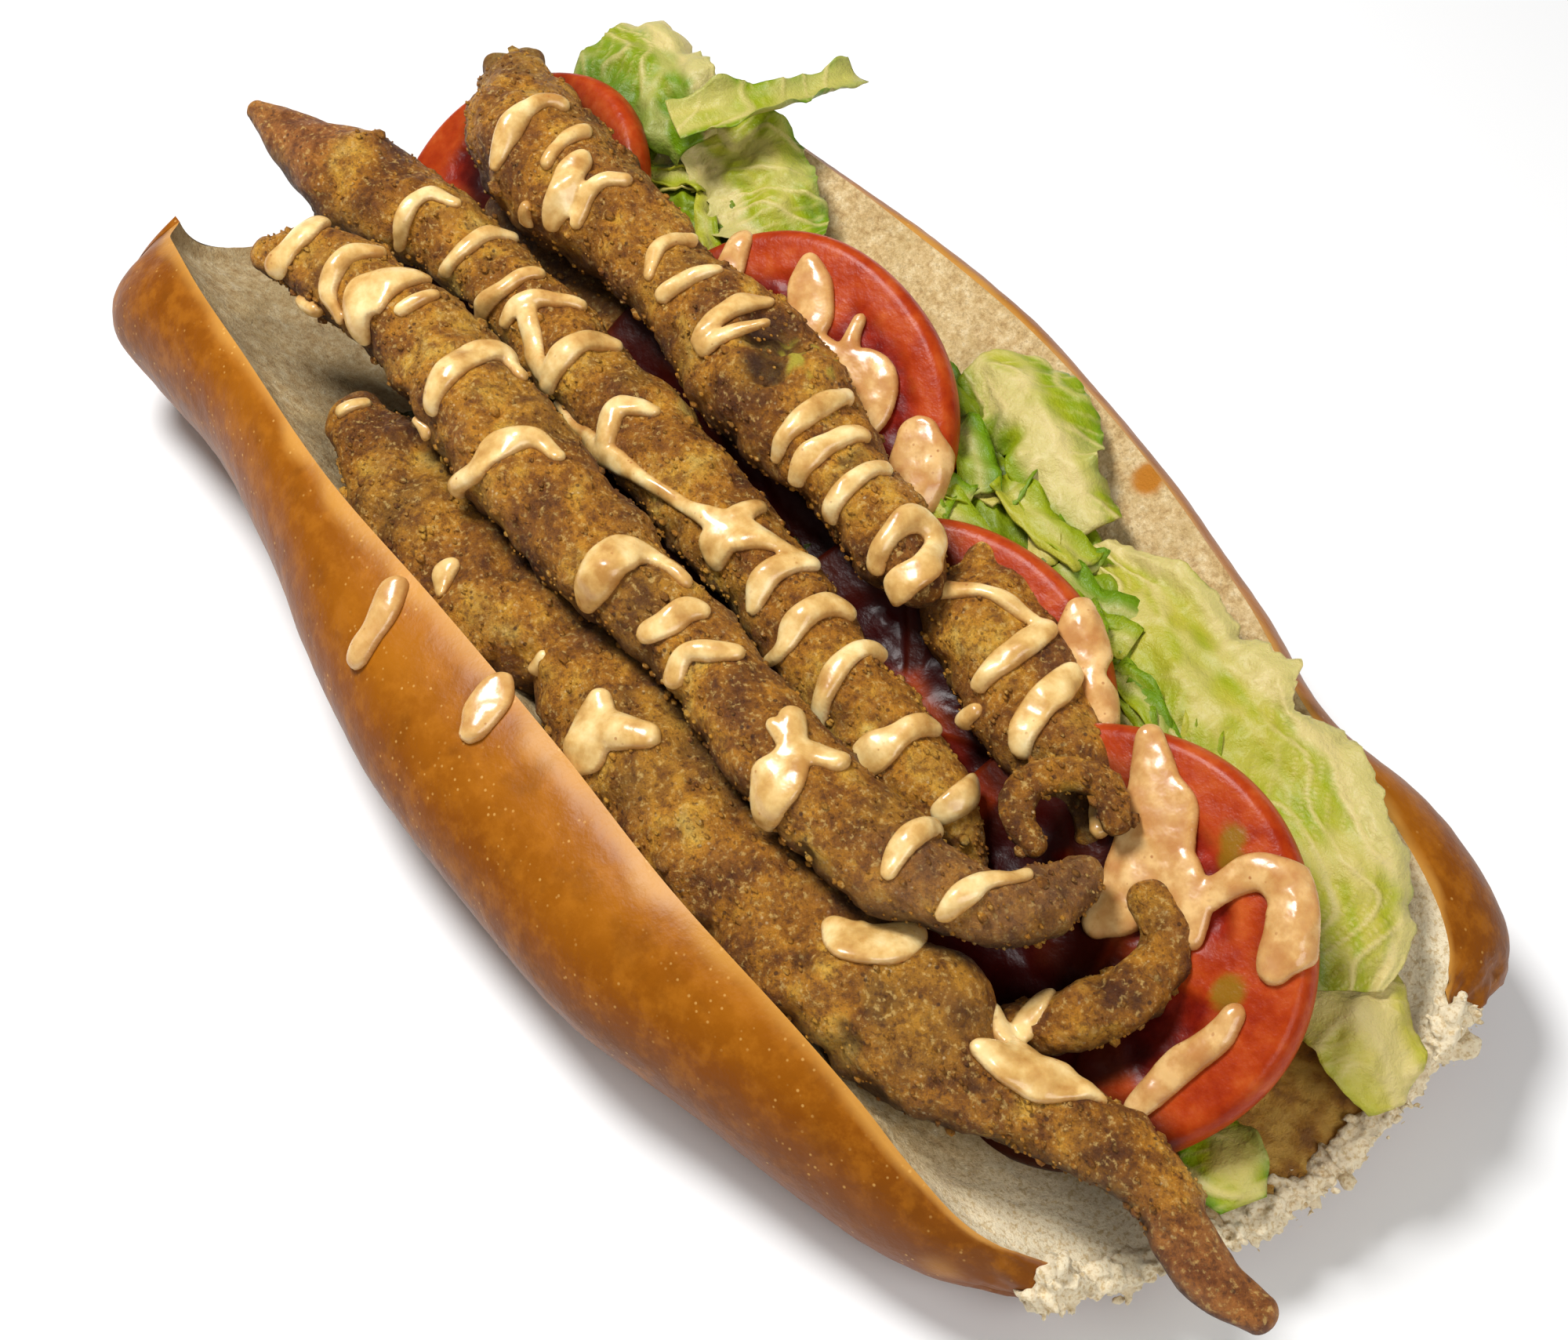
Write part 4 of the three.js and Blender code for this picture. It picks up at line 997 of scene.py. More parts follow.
def roll_stations(grid):
    return np.linspace(ROLL_FAR, ROLL_NEAR, int((ROLL_NEAR - ROLL_FAR) / grid))


def crust_outline(stations):
    return section(crust_curves, stations, [CRUST_POINTS, UNDER_POINTS, CRUST_POINTS])


def far_rounding(points):
    """Draws the far end's section in a little, so that its edge is round."""
    near = step(ROLL_FAR + 7, ROLL_FAR - 1, points[..., 0])
    draw = (points - FAR_MIDDLE) * (0, 1, 1)
    return points - draw * (0.08 * near**2)[..., None]


def make_crust(material):
    heap = Heap()
    points = crust_outline(roll_stations(CRUST_GRID))
    normals = grid_normals(points)
    share = np.abs(np.linspace(-1, 1, points.shape[1]))
    relief = 0.55 * noise(points, 26, 1) + 0.16 * rough(points, 5, 2) + 0.05 * noise(points, 1.8, 7)
    relief = relief * step(0, 6, points[..., 2]) * step(1.0, 0.97, share)
    points = points - normals * relief[..., None]
    points[..., 0] += torn(points)
    points = far_rounding(points)
    points[..., 2] = np.maximum(points[..., 2], 0)
    near = step(70, 135, points[..., 0])
    # down: darker lower down the crust, plus painted shade towards the far end.
    heap.add(
        points, grid_faces(*points.shape[:2]),
        down=step(46, 4, points[..., 2]) + 0.22 * step(-50, -140, points[..., 0]),
        toast=step(9, 4, distance(points, TORN_CORNER)),
        rim=0.8 * step(0.95 + 0.025 * near, 1, share + 0.02 * noise(points, 9, 9)),
        pink=near * step(0.9, 0.75, share) * step(6, 30, -points[..., 1]),
    )
    cap = far_rounding(end_cap(ROLL_FAR, *FAR_CAP))
    bulge = 1 - np.linspace(-1, 1, len(cap))[:, None] ** 4
    cap[..., 0] -= 2.2 * bulge + 0.5 * noise(cap, 9, 8)
    heap.add(cap, grid_faces(*cap.shape[:2])[:, ::-1], down=step(46, 4, cap[..., 2]))
    heap.piece("roll_crust", material, "crust", "roll")


def end_cap(x, across, between):
    """A grid over one end of the roll: from the crust's outline to the cut faces."""
    station = np.array([float(x)])
    edges = (crust_outline(station)[0], section(cut_curves, station, [CAP_POINTS, CAP_POINTS])[0])
    shares = np.linspace(0, 1, across)
    outer, inner = (
        np.stack([np.interp(shares, np.linspace(0, 1, len(edge)), part) for part in edge.T], -1)
        for edge in edges
    )
    ways = np.linspace(0, 1, between)[:, None, None]
    return outer[None] * (1 - ways) + inner[None] * ways


def make_crumb(material):
    heap = Heap()
    add_crumb(heap, far_rounding(section(cut_curves, roll_stations(CRUMB_GRID), CRUMB_POINTS)), 1)
    add_crumb(heap, end_cap(ROLL_NEAR, *NEAR_CAP), -1)
    heap.piece("roll_crumb", material, "crumb", "roll")


def from_juice(points):
    """The distance to the middle of the crumb that tomato juice has soaked, shorter across the roll."""
    return np.linalg.norm((points - SOAKED_SPOT) * (1, 0.7, 1), axis=-1)


def add_crumb(heap, points, facing):
    """Crumb with pits and torn tufts over a grid, facing to one side of it or the other."""
    faces = grid_faces(*points.shape[:2])
    normals = -facing * grid_normals(points)
    # Pits sink into the crumb, and the pore mark paints them browner: painted shade in the pits.
    pit = step(0.4, 0.1, grains(points, 3.0, 11)) * step(0.0, 0.5, noise(points, 8, 13))
    pores = step(0.4, 0.1, grains(points, 1.7, 14))
    edge = np.minimum(*(step(0, 4, way) for way in edge_distance(points)))
    relief = 0.7 * rough(points, 7, 12, 4) - 0.5 * pit - 0.3 * pores
    points = points + normals * (relief * edge)[..., None]
    points[..., 0] += torn(points)
    if facing < 0:
        points[..., 0] += 1.8 * rough(points, 6, 17, 4) * edge
    soaked = step(24, 11, from_juice(points) + 3 * noise(points, 7, 19))
    soak = np.maximum(step(16, 6, points[..., 2]) * 0.5, 0.95 * soaked)
    out = points[..., 0] - torn_reach(points[..., 1])
    # Whiter towards the torn end, partly the crumb's own colour and partly painted light.
    white = 0.8 * step(ROLL_NEAR - 34, ROLL_NEAR - 8, out) * (1 - soak)
    # Painted shade: under the strips, more widely under them towards the far end, and down the far left wall.
    shade = 0.45 * covered(points, reach=1.5) * (1 - 0.8 * step(60, 100, points[..., 0]))
    shade = np.maximum(shade, 0.6 * covered(points, reach=12) * step(-10, -60, points[..., 0]))
    far_wall_shade = step(-50, -110, points[..., 0]) * step(0, -20, points[..., 1])
    shade = np.maximum(shade, far_wall_shade * (0.42 + 0.12 * noise(points, 14, 18)))
    toast = step(4.5, 2.5, distance(points, TOAST_SPOT))
    heap.add(points, faces, pore=0.6 * pit, white=white, soak=soak, toast=toast, shade=shade)


def edge_distance(points):
    """Millimetres from each place to the two long edges of its grid."""
    gaps = np.linalg.norm(np.diff(points, axis=1), axis=-1)
    run = np.concatenate([np.zeros((len(points), 1)), np.cumsum(gaps, axis=1)], axis=1)
    return run, run[:, -1:] - run


def make_tufts(material):
    """Small torn bits of crumb that stand out over the near end and its edges."""
    heap = Heap()
    chance = np.random.default_rng(TUFT_SEED)
    face = end_cap(ROLL_NEAR, *NEAR_CAP)
    pulled = torn(face)
    rows, columns = face.shape[:2]
    for _ in range(TUFTS):
        i, j = chance.integers(0, columns), min(int(chance.beta(0.9, 0.7) * rows), rows - 1)
        size = 0.4 + chance.exponential(0.3)
        slim = np.array([1, chance.uniform(0.4, 0.9), chance.uniform(0.3, 0.8)])
        shape, faces = pebble(chance, size * slim, 4, 7, 0.3)
        turn = chance.uniform(0, math.pi)
        spin = [[math.cos(turn), math.sin(turn), 0], [-math.sin(turn), math.cos(turn), 0], [0, 0, 1]]
        spot = face[j, i] + chance.normal(0, (1.3, 0.8, 0.8)) + (pulled[j, i] + 0.4, 0, 0)
        if spot[2] > size:
            soak = 0.85 * step(20, 9, from_juice(spot))
            # The tufts are whitened like the torn end, partly painted light.
            heap.add(shape @ np.array(spin) + spot, faces, white=0.8, soak=soak)
    heap.flow_together(softening=1)
    heap.piece("crumb_tufts", material, "crumb")


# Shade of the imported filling

def covered(points, own=None, reach=7.0):
    """How far each place lies in the gaps under and between the fish strips, from 0 to 1: how much painted
    shade darkens it there.
    """
    flat = points.reshape(-1, 3)
    most = np.zeros(len(flat))
    for name, spine in SPINES.items():
        if name == own:
            continue
        near, above = np.full(len(flat), np.inf), np.zeros(len(flat))
        for spot, wide in zip(spine.spots[::SHADE_STEP], spine.values[3](spine.runs[::SHADE_STEP])):
            gap = np.hypot(flat[:, 0] - spot[0], flat[:, 1] - spot[1]) / (wide + reach)
            closer = gap < near
            near = np.where(closer, gap, near)
            above = np.where(closer, spot[2] + 0.4 * wide - flat[:, 2], above)
        most = np.maximum(most, step(1.0, 0.62, near) * step(0, 9, above))
    return most.reshape(points.shape[:-1])


# Fish strips and their sauce

class StripSkin:
    """The coated surface of one strip, by run along it and angle from its top."""

    def __init__(self, name):
        self.name, self.row, self.spine = name, STRIPS[name], SPINES[name]
        self.width = self.spine.values[3]
        self.seed = 10 * list(STRIPS).index(name)

    def bare(self, run, angle, swell=1.0):
        at, _, side, up = self.spine.frame(run)
        turn = np.radians(90 - angle)
        coating = 1 + COATING_SWELL * lumps(run, turn, len(self.name))
        wide = (self.width(run) * coating * swell)[..., None]
        across, above = np.cos(turn)[..., None], np.sin(turn)[..., None]
        flat = self.row["flat"]
        return at + side * across * wide + up * above * wide * flat, unit(side * across + up * above / flat)

    def crags(self, points):
        """Lumps of the coating, from a few millimetres down to one."""
        slim = np.clip(np.mean(self.width(np.linspace(0, self.spine.length, 9))) / 8, 0.4, 1.2)
        broad = mixed(points, (0.9, 9, 20 + self.seed), (0.4, 4.2, 21 + self.seed))
        sunk = 0.9 * step(0.25, 0.8, noise(points, 13, 22 + self.seed))
        return self.row.get("craggy", 1.0) * slim * (broad - sunk)

    def spot(self, run, angle):
        points, out = self.bare(run, angle)
        return points + out * self.crags(points)[..., None], out

    def scale(self, run, angle):
        """Millimetres for each unit of run and each degree."""
        return 1.0, np.maximum(self.width(run), 3) * math.pi / 180

    def rings(self):
        """Runs along the strip with rounded ends, and how far each ring is drawn in."""
        length = self.spine.length
        runs = np.linspace(0, length, int(length / STRIP_GRID) + 1)
        bends = np.linspace(0.08, 1, TIP_RINGS + 1)[:-1] * math.pi / 2
        first, last = (STRIP_TIP * float(self.width(end)) for end in (0.0, length))
        ends = (-first * np.cos(bends), length + last * np.cos(bends[::-1]))
        swells = np.concatenate([np.sin(bends), np.ones(len(runs)), np.sin(bends[::-1])])
        return np.concatenate([ends[0], runs, ends[1]]), swells[:, None]

    def bumps(self):
        """Where the coating stands up in a knob or sinks in a hollow: place, radius and height."""
        for kind, share in (("knobs", 0.75), ("hollows", -0.7)):
            for run, angle, radius in self.row.get(kind, ()):
                yield self.bare(np.array(float(run)), np.array(float(angle)))[0], radius, share * radius


def make_strip(name, material):
    heap = Heap()
    row, skin = STRIPS[name], StripSkin(name)
    seed = skin.seed
    runs, swells = skin.rings()
    around = int(2 * math.pi * max(point[3] for point in row["path"]) / STRIP_GRID)
    run, angle = np.meshgrid(runs, np.linspace(360, 0, around, endpoint=False), indexing="ij")
    points, out = skin.bare(run, angle, swells)
    relief = skin.crags(points)
    # Hollows sink the coating, and hollow_shade paints shade into them through the pit and shade marks.
    hollow_shade = np.zeros(relief.shape)
    for at, radius, raise_by in skin.bumps():
        near = step(radius * 1.5, 0 if raise_by > 0 else radius * 0.6, distance(points, at))
        relief = relief + raise_by * near
        hollow_shade = np.maximum(hollow_shade, near * (raise_by < 0))
    if "torn" in row:
        begins, ends = (step(*limits, (row["torn"] - angle) % 360) for limits in TORN_ARC)
        relief = relief + 0.8 + 1.4 * (begins * ends) * rough(points, 3.6, 44)
    # Pits sink the coating and the pit mark paints them dark: painted shade in the pits.
    pit = step(0.1, 0.75, noise(points, 3.4, 40 + seed)) * step(0.2, 0.8, noise(points, 9, 41))
    flake = step(0.25, 0.75, noise(points, 4.5, 42 + seed))
    crumbs = 0.5 * (0.5 - grains(points, 2.1, 30 + seed)) * (0.4 + flake)
    relief = relief + (crumbs + 0.35 * rough(points, 2.2, 34) - 0.7 * pit + 0.35 * flake)
    bare, dusty = (spread_along(run, row.get(kind, ())) for kind in ("bare", "dusty"))
    fade = np.minimum(1, swells * 1.4) * (1 - 0.75 * bare)
    rings = points + out * (relief * fade)[..., None]
    singed_to = row.get("singed", NOT_SINGED)
    from_top = np.abs((angle + 180) % 360 - 180)
    # Painted shade: darker down the strip's sides and underside, away from its top, and where another strip
    # lies over it.
    side_and_gap_shade = np.maximum(0.9 * step(54, 114, from_top), 0.8 * covered(rings, name, reach=3.0))
    patches = {
        mark: step(*reach, distance(rings, spot)) * step(*broken, noise(rings, size, patch_seed))
        for mark, (owner, spot, reach, broken, size, patch_seed) in PATCHES.items() if owner == name
    }
    heap.add(
        *tube(rings), bare=bare, dusty=dusty, singed=0.6 * step(singed_to + 6, singed_to - 6, run),
        pit=np.maximum(pit, hollow_shade), pale=step(0.15, 0.6, noise(rings, 12, 50 + seed)),
        shade=np.maximum(0.6 * hollow_shade, side_and_gap_shade), **patches,
    )
    heap.piece(f"{name}_coating", material, "fish", name)


def spread_along(run, spans):
    """From 0 to 1 where a strip's length lies in one of the spans, each a middle and a reach."""
    most = 0 * run
    for middle, reach in spans:
        most = np.maximum(most, step(reach, 0.6 * reach, np.abs(run - middle)))
    return most


def course_heading(skin, first, second):
    """The direction of a line on a skin in millimetres, and the skin's two scales along it."""
    scale = [np.broadcast_to(part, first.shape) for part in skin.scale(first, second)]
    return unit(np.stack([np.gradient(first) * scale[0], np.gradient(second) * scale[1]], -1)), scale


def sauce_course(skin, bends, swell):
    """Even places along a line of sauce: its coordinates on the skin, heading, half width and scales."""
    places = np.linspace(0, len(bends) - 1, COURSE_POINTS)
    first, second, width = (
        along([(i, bend[column]) for i, bend in enumerate(bends)])(places) for column in range(3)
    )
    heading, scale = course_heading(skin, first, second)
    reach = SAUCE_TIP * width[[0, -1]] / 2
    first, second = (
        np.concatenate([
            [line[0] - heading[0, k] * reach[0] / scale[k][0]], line,
            [line[-1] + heading[-1, k] * reach[1] / scale[k][-1]],
        ])
        for k, line in enumerate((first, second))
    )
    width, *scale = (np.pad(part, 1, mode="edge") for part in (width, *scale))
    gaps = np.hypot(np.diff(first) * scale[0][1:], np.diff(second) * scale[1][1:])
    run = np.concatenate([[0], np.cumsum(gaps)])
    even = np.linspace(0, run[-1], max(int(run[-1] / SAUCE_GRID), 9))
    first, second, half = (np.interp(even, run, part) for part in (first, second, width / 2 + SAUCE_SPREAD))
    half = half * (1 + swell[0] * np.exp(-even / 4) + swell[1] * np.exp(-(run[-1] - even) / 3))
    place = xyz(even, 50 * swell[0], 0)
    half = half * (1 + 0.2 * noise(place, 5, 71))
    first = first + 0.5 * noise(place, 7, 72)
    gap = np.clip(np.minimum(even, run[-1] - even) / half, 0, 1)
    heading, scale = course_heading(skin, first, second)
    return first, second, heading, half * np.maximum(np.sqrt(1 - (1 - gap) ** 2), 0.12), scale


def add_sauce_line(heap, skin, bends, pink, seed):
    """A thick line of sauce that hugs a skin, through (first, second, width) places on it."""
    chance = np.random.default_rng(seed)
    first, second, heading, half, scale = sauce_course(skin, bends, chance.uniform(-0.1, 0.12, 2))
    turns = even_turns(SAUCE_SIDES)
    offset = -np.cos(turns) * half[:, None]
    at, out = skin.spot(
        first[:, None] - heading[:, 1:] * offset / scale[0][:, None],
        second[:, None] + heading[:, :1] * offset / scale[1][:, None],
    )
    height = (SAUCE_LIFT + SAUCE_THICK) * np.minimum(1, 0.25 + 0.75 * half / SAUCE_FULL)[:, None]
    flatness = np.clip(2.0 / np.maximum(half, 0.1), 0.35, 0.7)[:, None]
    rise = np.where(np.sin(turns) > 0, height * np.abs(np.sin(turns)) ** flatness, SAUCE_SINK * np.sin(turns))
    swell = 1 + 0.22 * noise(at, 5, 70 + seed) + 0.1 * noise(at, 2, 71 + seed)
    points, faces = tube(at + out * (rise * swell)[..., None])
    thin = np.append(step(0.5, 0.1, np.sin(turns)) + 0 * offset, np.ones(2))
    heap.add(points, faces[:, ::-1], pink=pink, thin=0.7 * thin)


def make_sauce(name, material, pink, lines):
    """One piece of sauce that flows together from lines, given as (skin, bends, seed)."""
    heap = Heap()
    for skin, bends, seed in lines:
        add_sauce_line(heap, skin, bends, pink, seed)
    heap.flow_together()
    heap.piece(name, material, "sauce")


def pebble(chance, size, rings, sides, uneven=0.15):
    """A small uneven closed lump about its own middle."""
    bends = (np.arange(rings) + 0.5) / rings * math.pi
    b, t = np.meshgrid(bends, even_turns(sides), indexing="ij")
    swell = chance.uniform(1 - uneven, 1 + uneven, b.shape)
    return tube(xyz(np.cos(b), np.sin(b) * np.cos(t), np.sin(b) * np.sin(t)) * swell[..., None] * size)


def make_grains(material):
    """Crumbs of the fried coating that stand proud of the strips."""
    heap = Heap()
    chance = np.random.default_rng(GRAIN_SEED)
    for name, row in STRIPS.items():
        skin = StripSkin(name)
        crumbly = row.get("crumbly", 1.0)
        count = int(skin.spine.length * np.mean([point[3] for point in row["path"]]) * GRAINS * crumbly**2)
        run, angle = chance.uniform(0, skin.spine.length, count), chance.uniform(-150, 150, count)
        at, out = skin.spot(run, angle)
        keep = spread_along(run, row.get("bare", ())) < 0.5
        for spot, outward in zip(at[keep], out[keep]):
            size = 0.25 + chance.exponential(0.22) * crumbly
            points, faces = pebble(chance, size * np.array([1, 0.8, 0.6]), 3, 5)
            heap.add(points + spot + outward * 0.15, faces, pale=chance.uniform(0, 1))
    heap.piece("coating_grains", material, "fish")


# Tomato slices and the crust's runs of sauce

def turned(row):
    """Turns slice places (x, y, z) into the sandwich's own."""
    a, b = math.radians(row["lean"]), math.radians(row["turn"])
    about_x = np.array([[1, 0, 0], [0, math.cos(a), -math.sin(a)], [0, math.sin(a), math.cos(a)]])
    about_z = np.array([[math.cos(b), -math.sin(b), 0], [math.sin(b), math.cos(b), 0], [0, 0, 1]])
    whole = about_z @ about_x
    return lambda points: points @ whole.T + np.array(row["middle"], float)


class SliceSkin:
    """The upper face of a slice, by place along it and up it."""

    def __init__(self, row):
        self.place = turned(row)
        self.radius = row["radius"]

    def spot(self, x, y):
        far = np.hypot(x, y)
        over = np.clip((far - self.radius + SLICE_ROUND) / SLICE_ROUND, 0, 1)
        held = np.minimum(far, self.radius) / np.maximum(far, 1e-6)
        z = SLICE_THICK / 2 * np.sqrt(1 - 0.9 * over**2)
        out = unit(xyz(x * over / self.radius, y * over / self.radius, 1.0))
        return self.place(xyz(x * held, y * held, z)), self.place(out) - self.place(np.zeros(3))

    def scale(self, x, y):
        return 1.0, 1.0


class CrustSkin:
    """The crust's outside on the left half, by X and by the share of the way down."""

    def spot(self, x, share):
        at = crust_skin(x, share)
        down = crust_skin(x, share + 0.02) - at
        ahead = crust_skin(x + 1, share) - at
        return at, unit(np.cross(down, ahead))

    def scale(self, x, share):
        return 1.0, CRUST_DEEP


def chambers(rho, theta, seed, spin, open_to):
    """How far inside a seed chamber each place of a slice is, from 0 to 1."""
    count = 4 + seed % 2
    swing = theta + 0.25 * np.sin(2 * theta + seed) + spin
    wedge = np.abs((swing * count / (2 * math.pi)) % 1 - 0.5) * 2
    across = step(0.22, 0.42, 1 - wedge + 0.08 * np.sin(5 * theta + seed))
    outer = step(open_to, open_to - 0.1, rho + 0.03 * np.sin(3 * theta + seed))
    inner = step(0.16, 0.28, rho + 0.04 * np.sin(4 * theta + 2 * seed))
    return across * outer * inner


def make_slice(name, number, material):
    heap = Heap()
    row = SLICES[name]
    radius, half = row["radius"], SLICE_THICK / 2
    face = radius - SLICE_ROUND
    bends = np.linspace(0, math.pi, RIM_RINGS + 2)[1:-1]
    rho = np.concatenate([
        np.linspace(SLICE_EYE, face, SLICE_RINGS), face + SLICE_ROUND * np.sin(bends) ** 0.8,
        np.linspace(face, SLICE_EYE, UNDER_RINGS),
    ])
    high = np.concatenate([np.full(SLICE_RINGS, half), half * np.cos(bends), np.full(UNDER_RINGS, -half)])
    r, t = np.meshgrid(rho, even_turns(SLICE_SPOKES), indexing="ij")
    ring = np.arange(len(rho))[:, None]
    is_face, is_under = ring < SLICE_RINGS, ring >= len(rho) - UNDER_RINGS
    uneven = 1 + 0.014 * np.sin(3 * t + number) + 0.01 * np.sin(5 * t + 2 * number)
    shown = chambers(r / radius, t, number, row["spin"], row.get("open", 0.72)) * (is_face | is_under)
    local = xyz(r * uneven * np.cos(t), r * uneven * np.sin(t), high[:, None])
    relief = 0.25 * rough(local, 5, 80 + number) - 0.6 * shown + 0.45 * shown * noise(local, 3.4, 90 + number)
    relief = relief * step(face, face - 4, r)
    local[..., 2] += np.where(is_face, relief, np.where(is_under, -relief, 0))
    olive = np.zeros(t.shape)
    for x, y, reach in row.get("wedges", ()):
        gap = np.hypot(local[..., 0] - x, local[..., 1] - y) + 1.5 * noise(local, 4, 97 + number)
        olive = np.maximum(olive, 0.85 * step(reach + 1, reach - 1, gap))
    points, faces = tube(turned(row)(local))
    heap.add(points, faces, chamber=shown, olive=olive, shade=covered(points))
    heap.piece(f"{name}_slice", material, "tomato", name)


# Lettuce

def add_sheet(heap, middle, thick, **marks):
    """A thin body on both sides of a grid of points, with the same marks on each side."""
    rows, columns = middle.shape[:2]
    total = rows * columns
    faces = grid_faces(rows, columns)
    grid = np.arange(total).reshape(rows, columns)
    loop = np.concatenate([grid[0, :-1], grid[:-1, -1], grid[-1, :0:-1], grid[:0:-1, 0]])
    after = np.roll(loop, -1)
    rim = [np.stack([loop, after, after + total], -1), np.stack([loop, after + total, loop + total], -1)]
    both = np.concatenate([(middle + thick).reshape(-1, 3), (middle - thick).reshape(-1, 3)])
    marks = {
        name: np.tile(np.broadcast_to(values, (rows, columns)).ravel(), 2) for name, values in marks.items()
    }
    heap.add(both, np.concatenate([faces[:, ::-1], faces + total, *rim]), shade=covered(both), **marks)


def vein_lines(run, across, lean, gap=VEIN_GAP):
    """Fine raised veins that leave a leaf's rib at a lean, from 0 to 1."""
    lean = math.radians(lean)
    flat = xyz(run, across, 0)
    phase = (run * math.sin(lean) - np.abs(across) * math.cos(lean)) / gap + 0.7 * noise(flat, 9, 151)
    return step(0.14, 0.03, np.abs(phase % 1 - 0.5)) * step(-0.6, 0.2, noise(flat, 11, 152))


def make_leaf(name, number, material):
    heap = Heap()
    row = LEAVES[name]
    spine = Spine(row["path"])
    widest = max(point[3] for point in row["path"])
    rows, columns = int(spine.length / LEAF_GRID), max(int(2 * widest / LEAF_GRID), 10)
    run, v = np.meshgrid(np.linspace(0, spine.length, rows), np.linspace(-1, 1, columns), indexing="ij")
    at, tangent, level, _ = spine.frame(run)
    slope = np.radians(spine.values[4](run))[..., None]
    side = level * np.cos(slope) + np.cross(tangent, level) * np.sin(slope)
    normal = np.cross(tangent, side)

    # The outline, and the waves of the leaf as a whole
    edge = xyz(run, 40 * np.sign(v), 0)
    jagged = 0.16 * noise(edge, 9, number) + 0.1 * rough(edge, 3.5, number + 9)
    reach = spine.values[3](run) * (1 + row.get("ragged", 1.0) * jagged * v**2)
    sway = 0.5 * np.sin(2 * row["waves"] * run + 2 * v + len(name)) + 0.9 * noise(edge, 11, number + 21)
    wave = row["ruffle"] * v * v * sway + row["cup"] * v * v
    frill = 1.3 * v**6 * noise(edge, 4, number + 3)

    # Folds, the rib and the veins
    flat = xyz(run, v * reach, 0)
    fold = mixed(flat, (1.1, 13, 119 + number), (0.7, 6, 120 + number), (0.25, 2.6, 121))
    rib_gap = np.abs(v - row["rib"]) * widest
    rib = step(5, 1, rib_gap)
    from_rib, lean = (v - row["rib"]) * reach, row.get("vein_lean", 50)
    fine = 0.5 * vein_lines(run, from_rib, lean + 35, VEIN_GAP / 2.5)
    cell = 0.6 * step(0.5, 0.8, grains(flat * (0.7, 1, 1), 7, 122 + number))
    veins = np.maximum(np.maximum(cell, fine), vein_lines(run, from_rib, lean)) * step(0.0, 4.0, rib_gap)
    crinkle = 0.22 * noise(flat, 1.9, 123 + number) + 0.5 * noise(flat * (0.5, 1, 1), 3.4, 127 + number)
    creases = row.get("crumple", 1.0) * fold * (1 - 0.6 * rib)
    relief = wave + frill + creases + 0.5 * rib + 0.5 * veins + crinkle

    # Colours: green, the pale rib and veins, and the deeper side
    streak = noise(flat * (0.07, 1, 1), 2.4, 133) + 0.6 * noise(flat * (0.1, 1, 1), 1.2, 134)
    patch = mixed(flat, (0.12, 12, 130 + number), (0.06, 5, 131 + number)) + 0.2 * streak
    pale = step(6, 2, rib_gap + 2.5 * noise(flat, 6, 124 + number)) * 0.8
    deep = step(0.2, -0.9, v + 0.25 * streak) * step(-0.5, 0.3, noise(flat, 9, 132 + number))
    add_sheet(
        heap, at + side * (v * reach)[..., None] + normal * relief[..., None],
        normal * (LEAF_THICK / 2 * (0.4 + 0.6 * rib) * step(1.02, 0.8, np.abs(v)) + 0.1)[..., None],
        green=np.clip(row["green"] * (0.5 + 0.5 * v**2) + patch - 0.12 * veins - 0.08 * fold, 0, 1),
        rib=np.clip(pale + 0.75 * veins, 0, 1), deep=row.get("deep", 0.0) * deep,
    )
    heap.piece(f"{name}_lettuce", material, "lettuce", name)


def bed_surface(x):
    """The heap's top across one station, as the solid has it, and the floor under it."""
    cut = cut_curves(np.array([float(x)]))
    room = ((x - BED_LEFT["far"]) / BED_LEFT["over"], (BED_LEFT["near"] - x) / BED_LEFT["over"])
    left_share = max(BED_LEFT["least"], min(BED_LEFT["most"], *room))
    places = [bezier(cut[0], 1 - left_share * (1 - i / 3)) for i in range(3)]
    places += [bezier(cut[1], i / 5) for i in range(5)]
    under = [(float(y[0]), float(z[0]) + BED_GAP) for y, z in places]
    y = np.linspace(under[0][0], under[-1][0], BED_COLUMNS)
    floor = along(under)(y)
    fade = min(1, (x - BED_FAR + BED_END) / BED_FADE, (BED_NEAR - x + BED_END) / BED_FADE)
    waves = BED_WAVES * lumps(x * BED_PACE["along"], y * BED_PACE["across"], BED_SEED)
    return y, floor, np.maximum(BED_THIN, (bed_top(y) - floor) * fade + waves)


def make_bed(material):
    """Shredded lettuce in a heap: a dark crumpled body under many thin curled shreds."""
    heap = Heap()
    stations = np.arange(BED_FAR, BED_NEAR, 1.0)
    y, floor, rise = (np.array(part) for part in zip(*(bed_surface(x) for x in stations)))
    top, low = (slanted(stations[:, None], y, z) for z in (floor + rise - BED_SUNK, floor))
    free = step(0, 3, rise)
    top[..., 2] += (2.0 * rough(top, 8, 140) + 0.5 * noise(top, 2.4, 143)) * free
    top[..., 1] += (1.2 * noise(top * (0.4, 1, 1), 4, 145) - 0.6) * free
    ring = np.concatenate([top, low[:, ::-1]], axis=1)
    layers = noise(ring * (0.3, 1, 1), 3.4, 146) + 0.5 * noise(ring * (0.5, 1, 1), 1.6, 147)
    points, faces = tube(ring)
    green, deep = np.clip(0.6 + 0.35 * layers, 0, 1), np.clip(0.45 - 0.7 * layers, 0, 1)
    heap.add(points, faces, green=green, deep=deep, shade=covered(points))
    add_shreds(heap, stations, y, floor + rise)
    heap.piece("lettuce_heap", material, "lettuce", "lettuce_bed")


